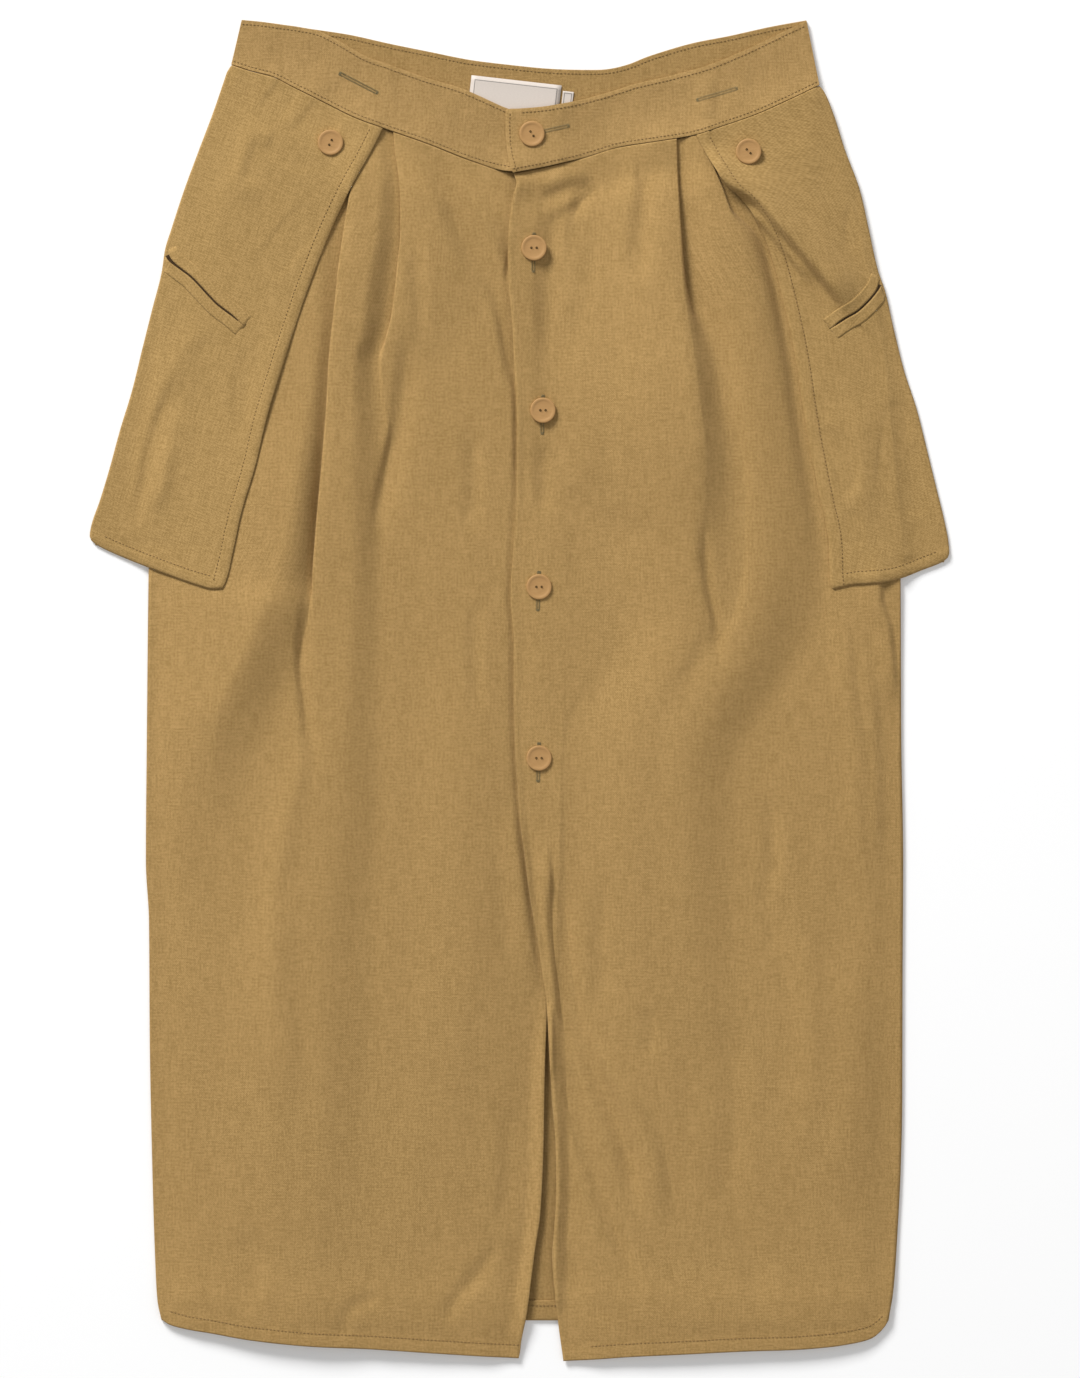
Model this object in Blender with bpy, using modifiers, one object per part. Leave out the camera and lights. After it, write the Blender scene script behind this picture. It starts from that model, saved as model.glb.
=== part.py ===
"""Cargo utility skirt, laid flat with its front up.

Lengths are written in millimetres and turned to metres when a mesh is made.
X runs to the viewer's right, Y to the waist and Z out of the front.
"""
import math

import bpy
import bmesh
import numpy as np
from mathutils import Vector
from mathutils.bvhtree import BVHTree

MM = 0.001
LEFT = -1
RIGHT = 1

# ---- cloth ----
CLOTH = 1.0             # wall of one layer of linen
BAND_WALL = 1.8         # doubled linen of the waistband
WELT_WALL = 0.8
LABEL_WALL = 0.5
SEAM = 0.3              # space between two pieces that are sewn together
CLEAR = 0.15            # added where a flat facet bridges a rounded one
AIR = 3.2               # how far the fronts stand off the back between folds
RISE_SHARE = 0.85       # most of the space beside a pleat that the climb may take
SIDE_REACH = 45.0       # least width over which cloth that lies high runs down to the side
FOLD_DEPTH = 1.2        # how far the flap's folded edge runs out past its legs
BAND_REACH = 5.0        # how far below the seam the band takes its height from
LOOK_FROM = 200.0       # height from which the layers below are looked for
LIP = 2.0               # cloth kept level beside a fold
FOLD_LIP = 1.6          # the same, where the next climb starts close to it

# ---- how far round each point a sheet clears what lies below it ----
BACK_REACH = 25.0
FRONT_REACH = 11.0
BAND_COVER = 10.0
FLAP_REACH = 9.0
WELT_REACH = 3.0
LABEL_REACH = 1.0

# ---- how many times a sheet is let down softly between what holds it up ----
FLAP_SETTLES = 5
BAND_SETTLES = 3

# ---- sizes of the trimmings ----
BUTTON_ACROSS = 16.2
BUTTON_THICK = 2.4
BUTTON_RIM = 1.8
BUTTON_DISH = 0.5
BUTTON_EDGE = 0.6
BUTTON_SIDES = 20
HOLE_ACROSS = 1.6
HOLE_SPACING = 3.4
HOLE_SIDES = 8
WELT_WIDTH = 7.2
SLIT_WIDTH = 1.0
WELT_EDGE = 3.0         # from a welt's end to the folded edge of the flap
HEM_TURNED_UP = 12.0
LABEL_MAIN = (58.0, 27.0)
LABEL_SIZE = (7.0, 10.0)

# ---- outline of the body: height, half width at that height ----
SIDE_LEFT = [
    # y, out
    (398, 178), (372, 187), (346, 197), (314, 209), (282, 217), (250, 224), (186, 231),
    (122, 236), (84, 237), (-32, 238), (-109, 239), (-147, 237), (-224, 236),
    (-301, 235), (-365, 233), (-390, 231.5), (-402, 229),
]
SIDE_RIGHT = [
    # y, out
    (386, 186), (372, 192), (346, 201), (314, 211), (282, 219), (250, 226), (186, 235),
    (122, 241), (84, 243), (-32, 244), (-109, 245), (-262, 244.5), (-301, 244),
    (-339, 242), (-384, 239), (-402, 236),
]

# ---- free edges of the fronts: height, x ----
EDGE_LEFT = [
    # y, x
    (332, 26), (58, 26), (-70, 23.4), (-166, 20.2), (-213, 17.3), (-291, 15.3), (-337, 13),
    (-375, 7.6), (-397, 4.8), (-427, -0.6),
]
EDGE_RIGHT = [
    # y, x
    (330, -3.2), (317, -3.7), (290, -7), (263, -6.8), (239, -4.8), (173, -1.3), (122, -2), (89, -4),
    (59, -5.6), (32, -3.6), (-40, -2.6), (-83, 0.3), (-106, 3.5), (-155, 10.8),
    (-181, 14.7), (-198, 17.3), (-259, 20.7), (-306, 23.6), (-322, 23.7), (-361, 21.2),
    (-403, 24.6), (-428, 28),
]

# ---- seams and edges that run across: x, y ----
SEAM_LEFT = [
    # x, y
    (-184.3, 400.1), (-171, 395.8), (-158, 392), (-145, 386), (-123, 375), (-105, 366),
    (-87, 359.5), (-59, 349.5), (-30, 338.5), (-4.2, 331.5), (26, 337),
]
SEAM_RIGHT = [
    # x, y
    (-4.2, 330.5), (19, 335), (41, 340.5), (63, 347), (85, 350.5), (112, 355),
    (129, 360.4), (151, 368), (173, 378), (191.7, 387),
]
SEAM_BACK = [
    # x, y
    (-184.3, 399.5), (-87, 374), (-30, 363), (45, 357), (75, 360.5), (112, 369), (191.7, 387.4),
]
TOP_LEFT = [
    # x, y
    (-177.7, 428.5), (-162, 424.4), (-144, 422.7), (-127, 421.4), (-114, 414.5), (-98.5, 405.7),
    (-83, 400), (-61, 392.4), (-39, 385.7), (-25.7, 380.3), (-8, 372.3), (4, 370), (26, 372),
]
TOP_RIGHT = [
    # x, y
    (-8.9, 369), (-7, 371.3), (1, 372), (19, 373.6), (41, 378), (63, 384.3), (96, 393),
    (118, 399), (140, 407.7), (162, 418), (173, 423.5), (183.6, 428.3),
]
TOP_BACK = [
    # x, y
    (-177.6, 429.1), (-134, 423.4), (-108, 419.5), (-83, 413.8), (-57, 408.6), (-32, 403.5),
    (-6, 400.3), (20, 397.8), (45, 397.1), (58, 397.8), (71, 401), (84, 406), (109, 413.8),
    (160, 424.6), (183.6, 428.8),
]
HEM_LEFT = [
    # x, y
    (-229.4, -401.6), (-223.7, -405.4), (-211, -408.6), (-172, -415), (-134, -418.9),
    (-57, -423.4), (0, -427),
]
HEM_RIGHT = [
    # x, y
    (28, -428.8), (71, -426), (147, -422), (199, -419.5), (211, -417.6), (224, -414),
    (232, -407), (236.5, -401.6),
]
HEM_BACK = -402.9

# ---- waist pleats, each folded outward ----
# depth is how far the fold lies over, open is 0 for a pressed fold and 1 for a soft slope,
# drop is the height of the top of the pleat, slope and climb are the widths of its two sides,
# floor is the height of the cloth beyond it
PLEATS_LEFT = [
    [
        # y, out, depth, open, drop, slope, climb, floor
        (360, 80.6, 13, 0, 2.8, 12, 22, 0), (327, 78.8, 12, 0, 2.8, 12, 30, 0),
        (292, 77, 9, 0, 2.8, 12, 44, 0), (254, 79.6, 4, 0, 2.8, 12, 50, 0),
        (224, 86, 2, 0.5, 2.4, 12, 46, 0), (205, 89, 1.7, 1, 1.4, 10, 40, 0),
        (170, 86, 1.6, 1, 0.3, 8, 40, 0), (130, 83, 1.6, 1, 0, 8, 40, 0),
        (-70, 84, 1.6, 1, 0, 8, 40, 0), (-280, 88, 1.6, 1, 0, 8, 40, 0),
    ],
    [
        # y, out, depth, open, drop, slope, climb, floor
        (365, 104, 8, 0, 2.8, 12, 12, 0), (330, 106.4, 8, 0, 2.8, 12, 12, 0),
        (290, 112.6, 8, 0, 4.4, 12, 15, 0), (250, 117.4, 8, 0, 5.8, 12, 18, 0),
        (210, 121.6, 7, 0, 5.6, 12, 16, 0), (170, 124, 6, 0, 5.6, 12, 19, 0),
        (130, 127.4, 5, 0, 6.0, 12, 23, 0), (100, 130, 4, 0, 5.8, 12, 21, 0),
        (74, 132, 2.8, 0.4, 5.2, 12, 21, 2.4), (50, 133, 2.4, 0.9, 4.8, 12, 23, 4.2),
        (25, 134.5, 1.7, 1, 4.6, 14, 25, 4.3), (-40, 138, 1.7, 1, 4.6, 32, 28, 2.4),
        (-156, 144, 1.7, 1, 4.8, 54, 37, 0.4), (-310, 150, 1.7, 1, 3.0, 56, 38, 0),
        (-400, 150, 1.7, 1, 1.4, 56, 38, 0),
    ],
]
PLEATS_RIGHT = [
    [
        # y, out, depth, open, drop, slope, climb, floor
        (354, 100.2, 13, 0, 2.8, 12, 24, 0), (312, 102, 13, 0, 4.2, 12, 28, 0),
        (273, 104.4, 11, 0.3, 7.4, 12, 40, 1), (251, 106.4, 9, 0.55, 9.4, 14, 48, 1.8),
        (228, 110, 7, 0.8, 11.4, 15, 56, 2.6), (205, 113.6, 5.5, 1, 13, 16, 64, 3.2),
        (180, 116.2, 4, 1, 13.6, 18, 70, 3.8), (150, 119, 2.6, 1, 12.6, 22, 70, 4.2),
        (120, 118, 1.7, 1, 10.2, 25, 64, 4.2), (75, 116, 1.7, 1, 7.2, 24, 52, 4.2),
        (50, 117, 1.7, 1, 6.2, 18, 48, 4.4), (20, 108, 1.7, 1, 5.4, 12, 48, 4.8),
        (0, 97, 1.7, 1, 4.8, 10, 50, 4.8), (-40, 84, 1.7, 1, 4.8, 10, 52, 4.8),
        (-140, 84, 1.7, 1, 3.2, 10, 50, 3.2), (-300, 90, 1.7, 1, 0, 10, 50, 0),
    ],
    [
        # y, out, depth, open, drop, slope, climb, floor
        (360, 119, 4, 0, 2.8, 12, 14, 0), (335, 124, 4, 0, 2.8, 12, 14, 0),
        (320, 130, 4.4, 0.2, 3.6, 12, 16, 0), (304, 135, 4.4, 0.6, 4.8, 12, 20, 0),
        (288, 139, 4, 1, 5.4, 16, 24, -1), (250, 147, 2.4, 1, 5.2, 23, 30, -3),
        (210, 150, 1.7, 1, 4.8, 29, 28, -3.2), (150, 152, 1.7, 1, 5, 35, 21, -3.2),
        (90, 154, 1.7, 1, 5.2, 40, 22, -3.2), (40, 146, 1.7, 1, 5.7, 46, 24, -2),
        (5, 129, 1.7, 1, 5.7, 46, 24, -0.6), (-30, 111, 1.7, 1, 5.6, 39, 22, 0),
        (-60, 107, 1.7, 1, 5.4, 34, 20, 0), (-100, 108, 1.7, 1, 4.6, 32, 22, 0),
        (-200, 115, 1.7, 1, 1.7, 26, 24, 0), (-300, 118, 1.7, 1, 0, 24, 24, 0),
    ],
]

# ---- rise of the left front beyond its pleats, under the flap ----
# hollow is 0 where the rise is S shaped and 1 where it starts steeply
RISE_LEFT = [
    # y, out, width, height, hollow
    (366, 112, 12, 0.4, 0), (290, 117, 12, 1.4, 0), (250, 120, 11, 1.8, 0.5), (210, 124, 10, 2.8, 1),
    (170, 126, 13, 5.0, 1), (130, 129.2, 15, 8.2, 1), (90, 131.4, 19, 9.0, 1), (50, 134.6, 30, 7.2, 0.7),
    (10, 146, 36, 5.6, 0.2), (-30, 161, 41, 4.2, 0), (-70, 175, 46, 2.3, 0), (-130, 192, 40, 0, 0),
]
RISE_RIGHT = [(0, 200, 40, 0, 0)]

# ---- soft folds of the fronts: height (a trough is below nought), width to each side, path ----
FOLDS_FRONT = [
    # name, height, width, path of x and y from the waist down
    ("left_drag", -3.2, 12, [(-59, 343), (-33, 288), (-13, 237), (-5, 186)]),
    ("left_pleat_trough", -2.6, 13, [(-76, 238), (-78, 173), (-90, 108)]),
    ("left_long_ridge", 2.6, 38, [(-34, 60), (-34, -60), (-38, -180), (-36, -300)]),
    ("left_low_ridge", 1.4, 20, [(-152, -120), (-154, -190), (-146, -270)]),
    ("left_slit_ridge", 3.0, 15, [(10, -170), (16, -213), (14, -291), (10, -350), (1, -414)]),
    ("right_hip_trough", -2.6, 13, [(77, 347), (79, 322), (74, 256)]),
    ("right_placket_trough", -2.0, 13, [(22, 326), (18, 262), (20, 196)]),
    ("right_thigh_trough", -2.0, 12, [(118, 116), (119, 68), (130, 8)]),
    ("right_side_ridge", 2.0, 30, [(206, -160), (212, -250), (208, -340)]),
    ("right_low_trough", -1.4, 18, [(132, -200), (138, -260), (134, -330)]),
    ("slit_top_trough", -3.0, 14, [(20, -112), (23, -160), (29, -205), (37, -236)]),
    ("slit_trough", -2.4, 12, [(28, -198), (53, -252), (72, -312), (79, -345)]),
    ("slit_ridge", 2.4, 15, [(44, -208), (74, -268), (92, -344)]),
    ("slit_lower_trough", -1.6, 12, [(46, -262), (59, -320), (80, -412)]),
]

# ---- hip flaps ----
FLAP_OUTER_LEFT = [
    # y, out
    (400, 184.3), (392, 188.5), (371.5, 195.5), (346, 205), (320, 214.7), (294.7, 223), (269, 229),
    (218, 241.6), (166.7, 255.7), (115.5, 269.8), (98, 275),
]
FLAP_EDGE_LEFT = [
    # y, out
    (358.7, 87.4), (341, 96.5), (321, 107.2), (298.6, 118.2), (272, 129), (248, 138), (210, 150.4),
    (174, 161), (143, 168.4), (113, 177.3), (88, 182.7), (65.2, 188.2),
]
FLAP_HEM_LEFT = [
    # out, y
    (188.2, 65.2), (202.6, 69.1), (236.5, 78.7), (255, 86), (268, 92.5), (273.5, 97), (275, 102),
]
FLAP_OUTER_RIGHT = [
    # y, out
    (387, 191.7), (371.5, 200), (346, 208.3), (320, 217.9), (295, 223.7), (269, 229.4), (256, 234),
    (205, 246), (154, 260.8), (103, 272.3), (88, 275),
]
FLAP_EDGE_RIGHT = [
    # y, out
    (354, 113.2), (336, 123.2), (322, 132.2), (316, 139.6), (306, 147.8), (291.6, 155.8), (271, 163),
    (243, 170), (214, 176.3), (161, 184.6), (124, 193.6), (108, 196.8), (65, 199.2),
]
FLAP_HEM_RIGHT = [
    # out, y
    (199.2, 64.8), (218, 68.8), (230, 69.4), (255, 75.8), (268, 81), (273.5, 84.5), (275, 92),
]
FOLDS_FLAP_LEFT = [
    # name, height, width, path of x and y from the waist down
    ("left_flap_swell", 1.8, 26, [(-190, 340), (-205, 290), (-222, 240)]),
    ("left_flap_long_ridge", 3.2, 26, [(-206, 248), (-219, 215), (-231, 172), (-243, 132), (-243, 92)]),
    ("left_flap_hem_wave", 1.2, 16, [(-232, 150), (-240, 110), (-244, 84)]),
]
FOLDS_FLAP_RIGHT = [
    # name, height, width, path of x and y from the waist down
    ("right_flap_ridge", 4.6, 17, [(132, 326), (153, 315), (170, 298), (190, 276), (210, 248)]),
    ("right_flap_hem_wave", 1.2, 16, [(226, 170), (232, 120), (236, 78)]),
]

# ---- pocket slits, from the folded edge of the flap inward: x, y ----
SLIT_LEFT = [(-225.4, 279.6), (-222, 275.5), (-207.7, 262.5), (-193.6, 247.5), (-184.6, 239.7), (-174.5, 232)]
SLIT_RIGHT = [(231.6, 263), (228.2, 255.5), (221, 246), (213, 239), (205, 234.5), (196.5, 230)]

# ---- buttons: name, x, y, turn of the two holes in degrees ----
BUTTONS = [
    ("button_waist", 8.0, 355.5, -55),
    ("button_placket_1", 9.3, 282.6, 0),
    ("button_placket_2", 15.0, 178.9, 0),
    ("button_placket_3", 12.5, 66.2, 0),
    ("button_placket_4", 12.5, -43.2, 0),
    ("button_flap_left", -120.6, 349.8, 61),
    ("button_flap_right", 146.2, 344.0, -45),
]

# ---- labels: middle and turn in degrees ----
LABEL_MAIN_AT = (-3.4, 376.9, -6.5)
LABEL_SIZE_AT = (30.7, 378.2, -6.5)

# ---- how finely each piece is divided ----
FRONT_ROWS = [
    0, 0.014, 0.038, 0.07, 0.105, 0.14, 0.18, 0.22, 0.265, 0.315, 0.37, 0.425, 0.48,
    0.54, 0.6, 0.66, 0.72, 0.78, 0.835, 0.885, 0.928, 0.953, 0.978, 1,
]
CENTRE_COLUMNS = 7
BETWEEN_COLUMNS = 2
SIDE_COLUMNS = 9
BACK_ROWS = 18
BACK_COLUMNS = 22
FLAP_ROWS = 17
FLAP_COLUMNS = 11
LEG_COLUMNS = 5
BAND_ROWS = 4
BAND_COLUMNS = 20
WELT_COLUMNS = 8
TURN_ANGLES = (90, 30, -30, -90)

# ---- colours ----
KHAKI = (0.402, 0.251, 0.094, 1)
BAND_KHAKI = (0.418, 0.268, 0.104, 1)
FLAP_KHAKI = (0.412, 0.262, 0.100, 1)
WELT_KHAKI = (0.395, 0.245, 0.090, 1)
BACK_KHAKI = (0.330, 0.205, 0.078, 1)
COROZO = (0.545, 0.330, 0.148, 1)
LABEL_WHITE = (0.760, 0.700, 0.640, 1)


def read_line(table, where, column=1):
    """Value in a column of a table at a place between its rows."""
    rows = sorted(table)
    return float(np.interp(where, [row[0] for row in rows], [row[column] for row in rows]))


def smooth(part):
    """Soft step from 0 to 1."""
    part = min(max(part, 0.0), 1.0)
    return part * part * (3 - 2 * part)


def along(points, part):
    """Point at a part of the length of a path."""
    path = [Vector(point) for point in points]
    lengths = [(after - before).length for before, after in zip(path, path[1:])]
    left = part * sum(lengths)
    for before, after, length in zip(path, path[1:], lengths):
        if left <= length:
            return before.lerp(after, left / length)
        left -= length
    return path[-1]


def fold_height(folds, x, y):
    """Height that the soft folds add at a point."""
    total = 0.0
    for name, height, width, path in folds:
        best = None
        pieces = len(path) - 1
        for index in range(pieces):
            start = Vector(path[index])
            step = Vector(path[index + 1]) - start
            part = (Vector((x, y)) - start).dot(step) / step.length_squared
            part = min(max(part, 0.0), 1.0)
            away = (Vector((x, y)) - start - step * part).length
            if best is None or away < best[0]:
                best = (away, (index + part) / pieces)
        away, reached = best
        if away < width:
            across = math.cos(math.pi * away / width / 2) ** 2
            total += height * across * math.sin(math.pi * (0.12 + 0.76 * reached))
    return total


def make_tree(grid):
    """Search tree of a sheet's middle surface."""
    wide = len(grid[0])
    points = [Vector(point) for row in grid for point in row]
    faces = []
    for r in range(len(grid) - 1):
        for c in range(wide - 1):
            first = r * wide + c
            faces.append((first, first + 1, first + wide + 1, first + wide))
    return BVHTree.FromPolygons(points, faces)


def rest_on(layers, x, y, wall, reach):
    """Height of a sheet's middle surface where it lies on the layers below."""
    top = None
    for ring in (0.0, 0.5, 1.0):
        turns = 1 if ring == 0 else 8
        for turn in range(turns):
            angle = 2 * math.pi * turn / turns
            away = reach * ring
            start = Vector((x + away * math.cos(angle), y + away * math.sin(angle), LOOK_FROM))
            for tree, below in layers:
                hit = tree.ray_cast(start, Vector((0, 0, -1)))[0]
                if hit is not None and (top is None or hit.z + below / 2 > top):
                    top = hit.z + below / 2
    if top is None:
        return wall / 2
    return top + SEAM + CLEAR + wall / 2


def settle(heights, needed, rounds):
    """Let cloth span softly between the points that hold it up."""
    rows = len(heights)
    wide = len(heights[0])
    for _ in range(rounds):
        before = [list(row) for row in heights]
        for r in range(rows):
            for c in range(wide):
                near = []
                if r > 0:
                    near.append(before[r - 1][c])
                if r < rows - 1:
                    near.append(before[r + 1][c])
                if c > 0:
                    near.append(before[r][c - 1])
                if c < wide - 1:
                    near.append(before[r][c + 1])
                heights[r][c] = max(needed[r][c], sum(near) / len(near))
    return heights


def make_material(name, colour, roughness):
    """Principled material of one colour."""
    material = bpy.data.materials.new(name)
    material.use_nodes = True
    shader = material.node_tree.nodes["Principled BSDF"]
    shader.inputs["Base Color"].default_value = colour
    shader.inputs["Roughness"].default_value = roughness
    material.diffuse_color = colour
    return material


def add_mesh(name, points, faces, material, collection):
    """Object from points in millimetres."""
    mesh = bpy.data.meshes.new(name)
    mesh.from_pydata([Vector(point) * MM for point in points], [], faces)
    mesh.materials.append(material)
    item = bpy.data.objects.new(name, mesh)
    collection.objects.link(item)
    return item


def add_sheet(name, grid, wall, material, collection):
    """Cloth through a grid of points, with its wall half to each side."""
    wide = len(grid[0])
    faces = []
    for r in range(len(grid) - 1):
        for c in range(wide - 1):
            first = r * wide + c
            faces.append((first, first + 1, first + wide + 1, first + wide))
    item = add_mesh(name, [point for row in grid for point in row], faces, material, collection)
    solidify = item.modifiers.new("wall", "SOLIDIFY")
    solidify.thickness = wall * MM
    solidify.offset = 0
    return item


def place_between(out, down, side, top, hem):
    """Point at a distance out from the middle, a part of the way down from the seam to the hem."""
    x = side * out
    return x, read_line(top, x) * (1 - down) + read_line(hem, x) * down


def pleat_turns(pleat, y):
    """Eight points over a pleat, from its top layer round both folds to its lowest."""
    fold = read_line(pleat, y)
    depth = read_line(pleat, y, 2)
    opened = smooth(read_line(pleat, y, 3))
    drop = read_line(pleat, y, 4)
    slope = read_line(pleat, y, 5)
    floor = read_line(pleat, y, 7)
    radius = drop / 4
    under = fold - max(depth, 2 * radius)
    shut = []
    for angle in TURN_ANGLES:
        turn = math.radians(angle)
        shut.append((fold - radius + radius * math.cos(turn), drop - radius + radius * math.sin(turn)))
    for angle in TURN_ANGLES:
        turn = math.radians(angle)
        shut.append((under + radius - radius * math.cos(turn), radius + radius * math.sin(turn)))
    points = []
    for index, (out, up) in enumerate(shut):
        part = index / (len(shut) - 1)
        slope_out = fold - LIP + (slope + LIP) * part
        slope_up = drop + (floor - drop) * smooth(part)
        points.append((out + (slope_out - out) * opened, up + (slope_up - up) * opened))
    return points, under - LIP, drop, floor * opened


def side_rise(rise, side_out, out, y):
    """Height of the cloth that rises again beyond the pleats."""
    foot = read_line(rise, y)
    width = read_line(rise, y, 2)
    height = read_line(rise, y, 3)
    hollow = read_line(rise, y, 4)
    part = min(max((out - foot) / width, 0.0), 1.0)
    shape = (1 - hollow) * smooth(part) + hollow * (1 - (1 - part) ** 2)
    reach = max(side_out - foot - width, SIDE_REACH)
    return height * shape * min(max((side_out - out) / reach, 0.0), 1.0)


def front_section(edge, side_out, pleats, rise, y):
    """Distances out and lifts of one section across a front, from its free edge to its side."""
    points = []
    start = edge
    level = 0.0
    for place, pleat in enumerate(pleats):
        turns, plateau, drop, floor = pleat_turns(pleat, y)
        wide = min(read_line(pleat, y, 6), RISE_SHARE * (plateau - start))
        if place == 0:
            foot = plateau - wide
            for index in range(CENTRE_COLUMNS):
                points.append((start + (foot - start) * index / CENTRE_COLUMNS, level))
            points.append((foot, level))
            points.append((foot + wide / 2, (level + drop) / 2))
            points.append((plateau, drop))
            points.extend(turns)
        else:
            top = start + wide
            points.append((start, level))
            points.append((start + wide / 2, (level + drop) / 2))
            for index in range(BETWEEN_COLUMNS + 1):
                points.append((top + (plateau - top) * index / BETWEEN_COLUMNS, drop))
            for out, up in turns:
                points.append((out, up + side_rise(rise, side_out, out, y)))
        start = max(read_line(pleat, y) + FOLD_LIP, turns[-1][0] + FOLD_LIP)
        level = floor
    for index in range(SIDE_COLUMNS + 1):
        out = start + (side_out - start) * index / SIDE_COLUMNS
        left_over = level * min(max((side_out - out) / (side_out - start), 0.0), 1.0)
        points.append((out, left_over + side_rise(rise, side_out, out, y)))
    return points


def front_grid(side, edge, side_line, pleats, rise, top, hem, layers):
    """Middle surface of a front panel."""
    grid = []
    for down in FRONT_ROWS:
        row = []
        wanted = len(front_section(0, 200, pleats, rise, 0))
        for column in range(wanted):
            out = 100.0
            for _ in range(6):
                y = place_between(out, down, side, top, hem)[1]
                section = front_section(side * read_line(edge, y), read_line(side_line, y), pleats, rise, y)
                out, lift = section[column]
            x, y = place_between(out, down, side, top, hem)
            y -= SEAM * (1 - down)
            inner = side * read_line(edge, y)
            outer = read_line(side_line, y)
            across = min(max((out - inner) / (outer - inner), 0.0), 1.0)
            stand = AIR * math.sin(math.pi * across) * smooth(down / 0.06) * smooth((1 - down) / 0.05)
            sunk = min(lift, 0.0)
            loose = max(stand + fold_height(FOLDS_FRONT, x, y) + sunk, 0.0)
            row.append((x, y, rest_on(layers, x, y, CLOTH, FRONT_REACH) + loose + lift - sunk))
        grid.append(row)
    return grid


def flap_plan(edge, outer, top, hem, side, columns):
    """Points of a flap's leg in plan, from its free edge to its fold."""
    grid = []
    hem_xy = [(side * out, y) for out, y in hem]
    for r in range(FLAP_ROWS):
        down = r / (FLAP_ROWS - 1)
        row = []
        for c in range(columns):
            part = c / (columns - 1)
            out = 180.0
            for _ in range(12):
                y = place_between(out, down, side, top, hem_xy)[1]
                out = read_line(edge, y) * (1 - part) + (read_line(outer, y) - CLOTH / 2 - FOLD_DEPTH) * part
            x, y = place_between(out, down, side, top, hem_xy)
            row.append((x, y - SEAM * (1 - down)))
        grid.append(row)
    return grid


def flap_grid(plan, leg_plan, side, folds, layers):
    """Middle surface of a flap: its front leg, the turn round its fold and its back leg."""
    needed = [[rest_on(layers, x, y, CLOTH, FLAP_REACH) for x, y in row] for row in plan]
    heights = settle([list(row) for row in needed], needed, FLAP_SETTLES)
    grid = []
    for r, row in enumerate(plan):
        points = []
        for c, (x, y) in enumerate(row):
            away = smooth((len(row) - 1 - c) / 2)
            points.append((x, y, heights[r][c] + max(fold_height(folds, x, y), 0) * away))
        x, y, z = points[-1]
        low = CLOTH / 2
        middle = (z + low) / 2
        high = (z - low) / 2
        for angle in (45, 0, -45):
            turn = math.radians(angle)
            points.append((x + side * FOLD_DEPTH * math.cos(turn), y, middle + high * math.sin(turn)))
        for leg_x, leg_y in reversed(leg_plan[r]):
            points.append((leg_x, leg_y, low))
        grid.append(points)
    return grid


def back_grid(layers):
    """Middle surface of the back panel with its hem turned up inside."""
    grid = []
    for r in range(BACK_ROWS):
        down = r / (BACK_ROWS - 1)
        row = []
        for c in range(BACK_COLUMNS):
            part = c / (BACK_COLUMNS - 1)
            x = 0.0
            for _ in range(6):
                y = (read_line(SEAM_BACK, x) - SEAM) * (1 - down) + (HEM_BACK + CLOTH) * down
                x = -read_line(SIDE_LEFT, y) * (1 - part) + read_line(SIDE_RIGHT, y) * part
            row.append((x, y, rest_on(layers, x, y, CLOTH, BACK_REACH)))
        grid.append(row)
    hem = grid[-1]
    radius = (CLOTH + SEAM) / 2
    for angle in (-45, 0, 45):
        back = radius * math.cos(math.radians(angle))
        up = radius + radius * math.sin(math.radians(angle))
        grid.append([(x, y - back, z + up) for x, y, z in hem])
    grid.append([(x, y, z + 2 * radius) for x, y, z in hem])
    grid.append([(x, y + HEM_TURNED_UP, z + 2 * radius) for x, y, z in hem])
    return grid


def band_grid(top, bottom, layers, beside_seam, wall, flat):
    """Middle surface of a waistband between its two edges, level with what is sewn to it."""
    plan = []
    for r in range(BAND_ROWS):
        down = r / (BAND_ROWS - 1)
        row = []
        for c in range(BAND_COLUMNS):
            part = c / (BAND_COLUMNS - 1)
            upper = along(top, part)
            lower = along(bottom, part) + Vector((0, SEAM / 2))
            row.append(tuple(upper.lerp(lower, down)))
        plan.append(row)
    if flat:
        return [[(x, y, wall / 2) for x, y in row] for row in plan]
    needed = [[rest_on(layers, x, y, wall, BAND_COVER) for x, y in row] for row in plan]
    for c, (x, y) in enumerate(plan[-1]):
        level = rest_on(beside_seam, x, y - BAND_REACH, 0, BAND_REACH) - wall / 2
        needed[-1][c] = max(needed[-1][c], level)
    heights = settle([list(row) for row in needed], needed, BAND_SETTLES)
    return [[(x, y, heights[r][c]) for c, (x, y) in enumerate(row)] for r, row in enumerate(plan)]


def label_grid(middle, size, layers):
    """Small label lying on the band."""
    x, y, turn = middle
    turn = math.radians(turn)
    grid = []
    for down in (0.5, 0.0, -0.5):
        row = []
        for part in (-0.5, -0.17, 0.17, 0.5):
            px = x + size[0] * part * math.cos(turn) - size[1] * down * math.sin(turn)
            py = y + size[0] * part * math.sin(turn) + size[1] * down * math.cos(turn)
            row.append((px, py, rest_on(layers, px, py, LABEL_WALL, LABEL_REACH)))
        grid.append(row)
    return grid


def beside(path, part, away):
    """Point at a part of the length of a path, moved to one side of it."""
    ahead = along(path, min(part + 0.1, 1)) - along(path, max(part - 0.1, 0))
    return along(path, part) + Vector((-ahead.y, ahead.x)).normalized() * away


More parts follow.
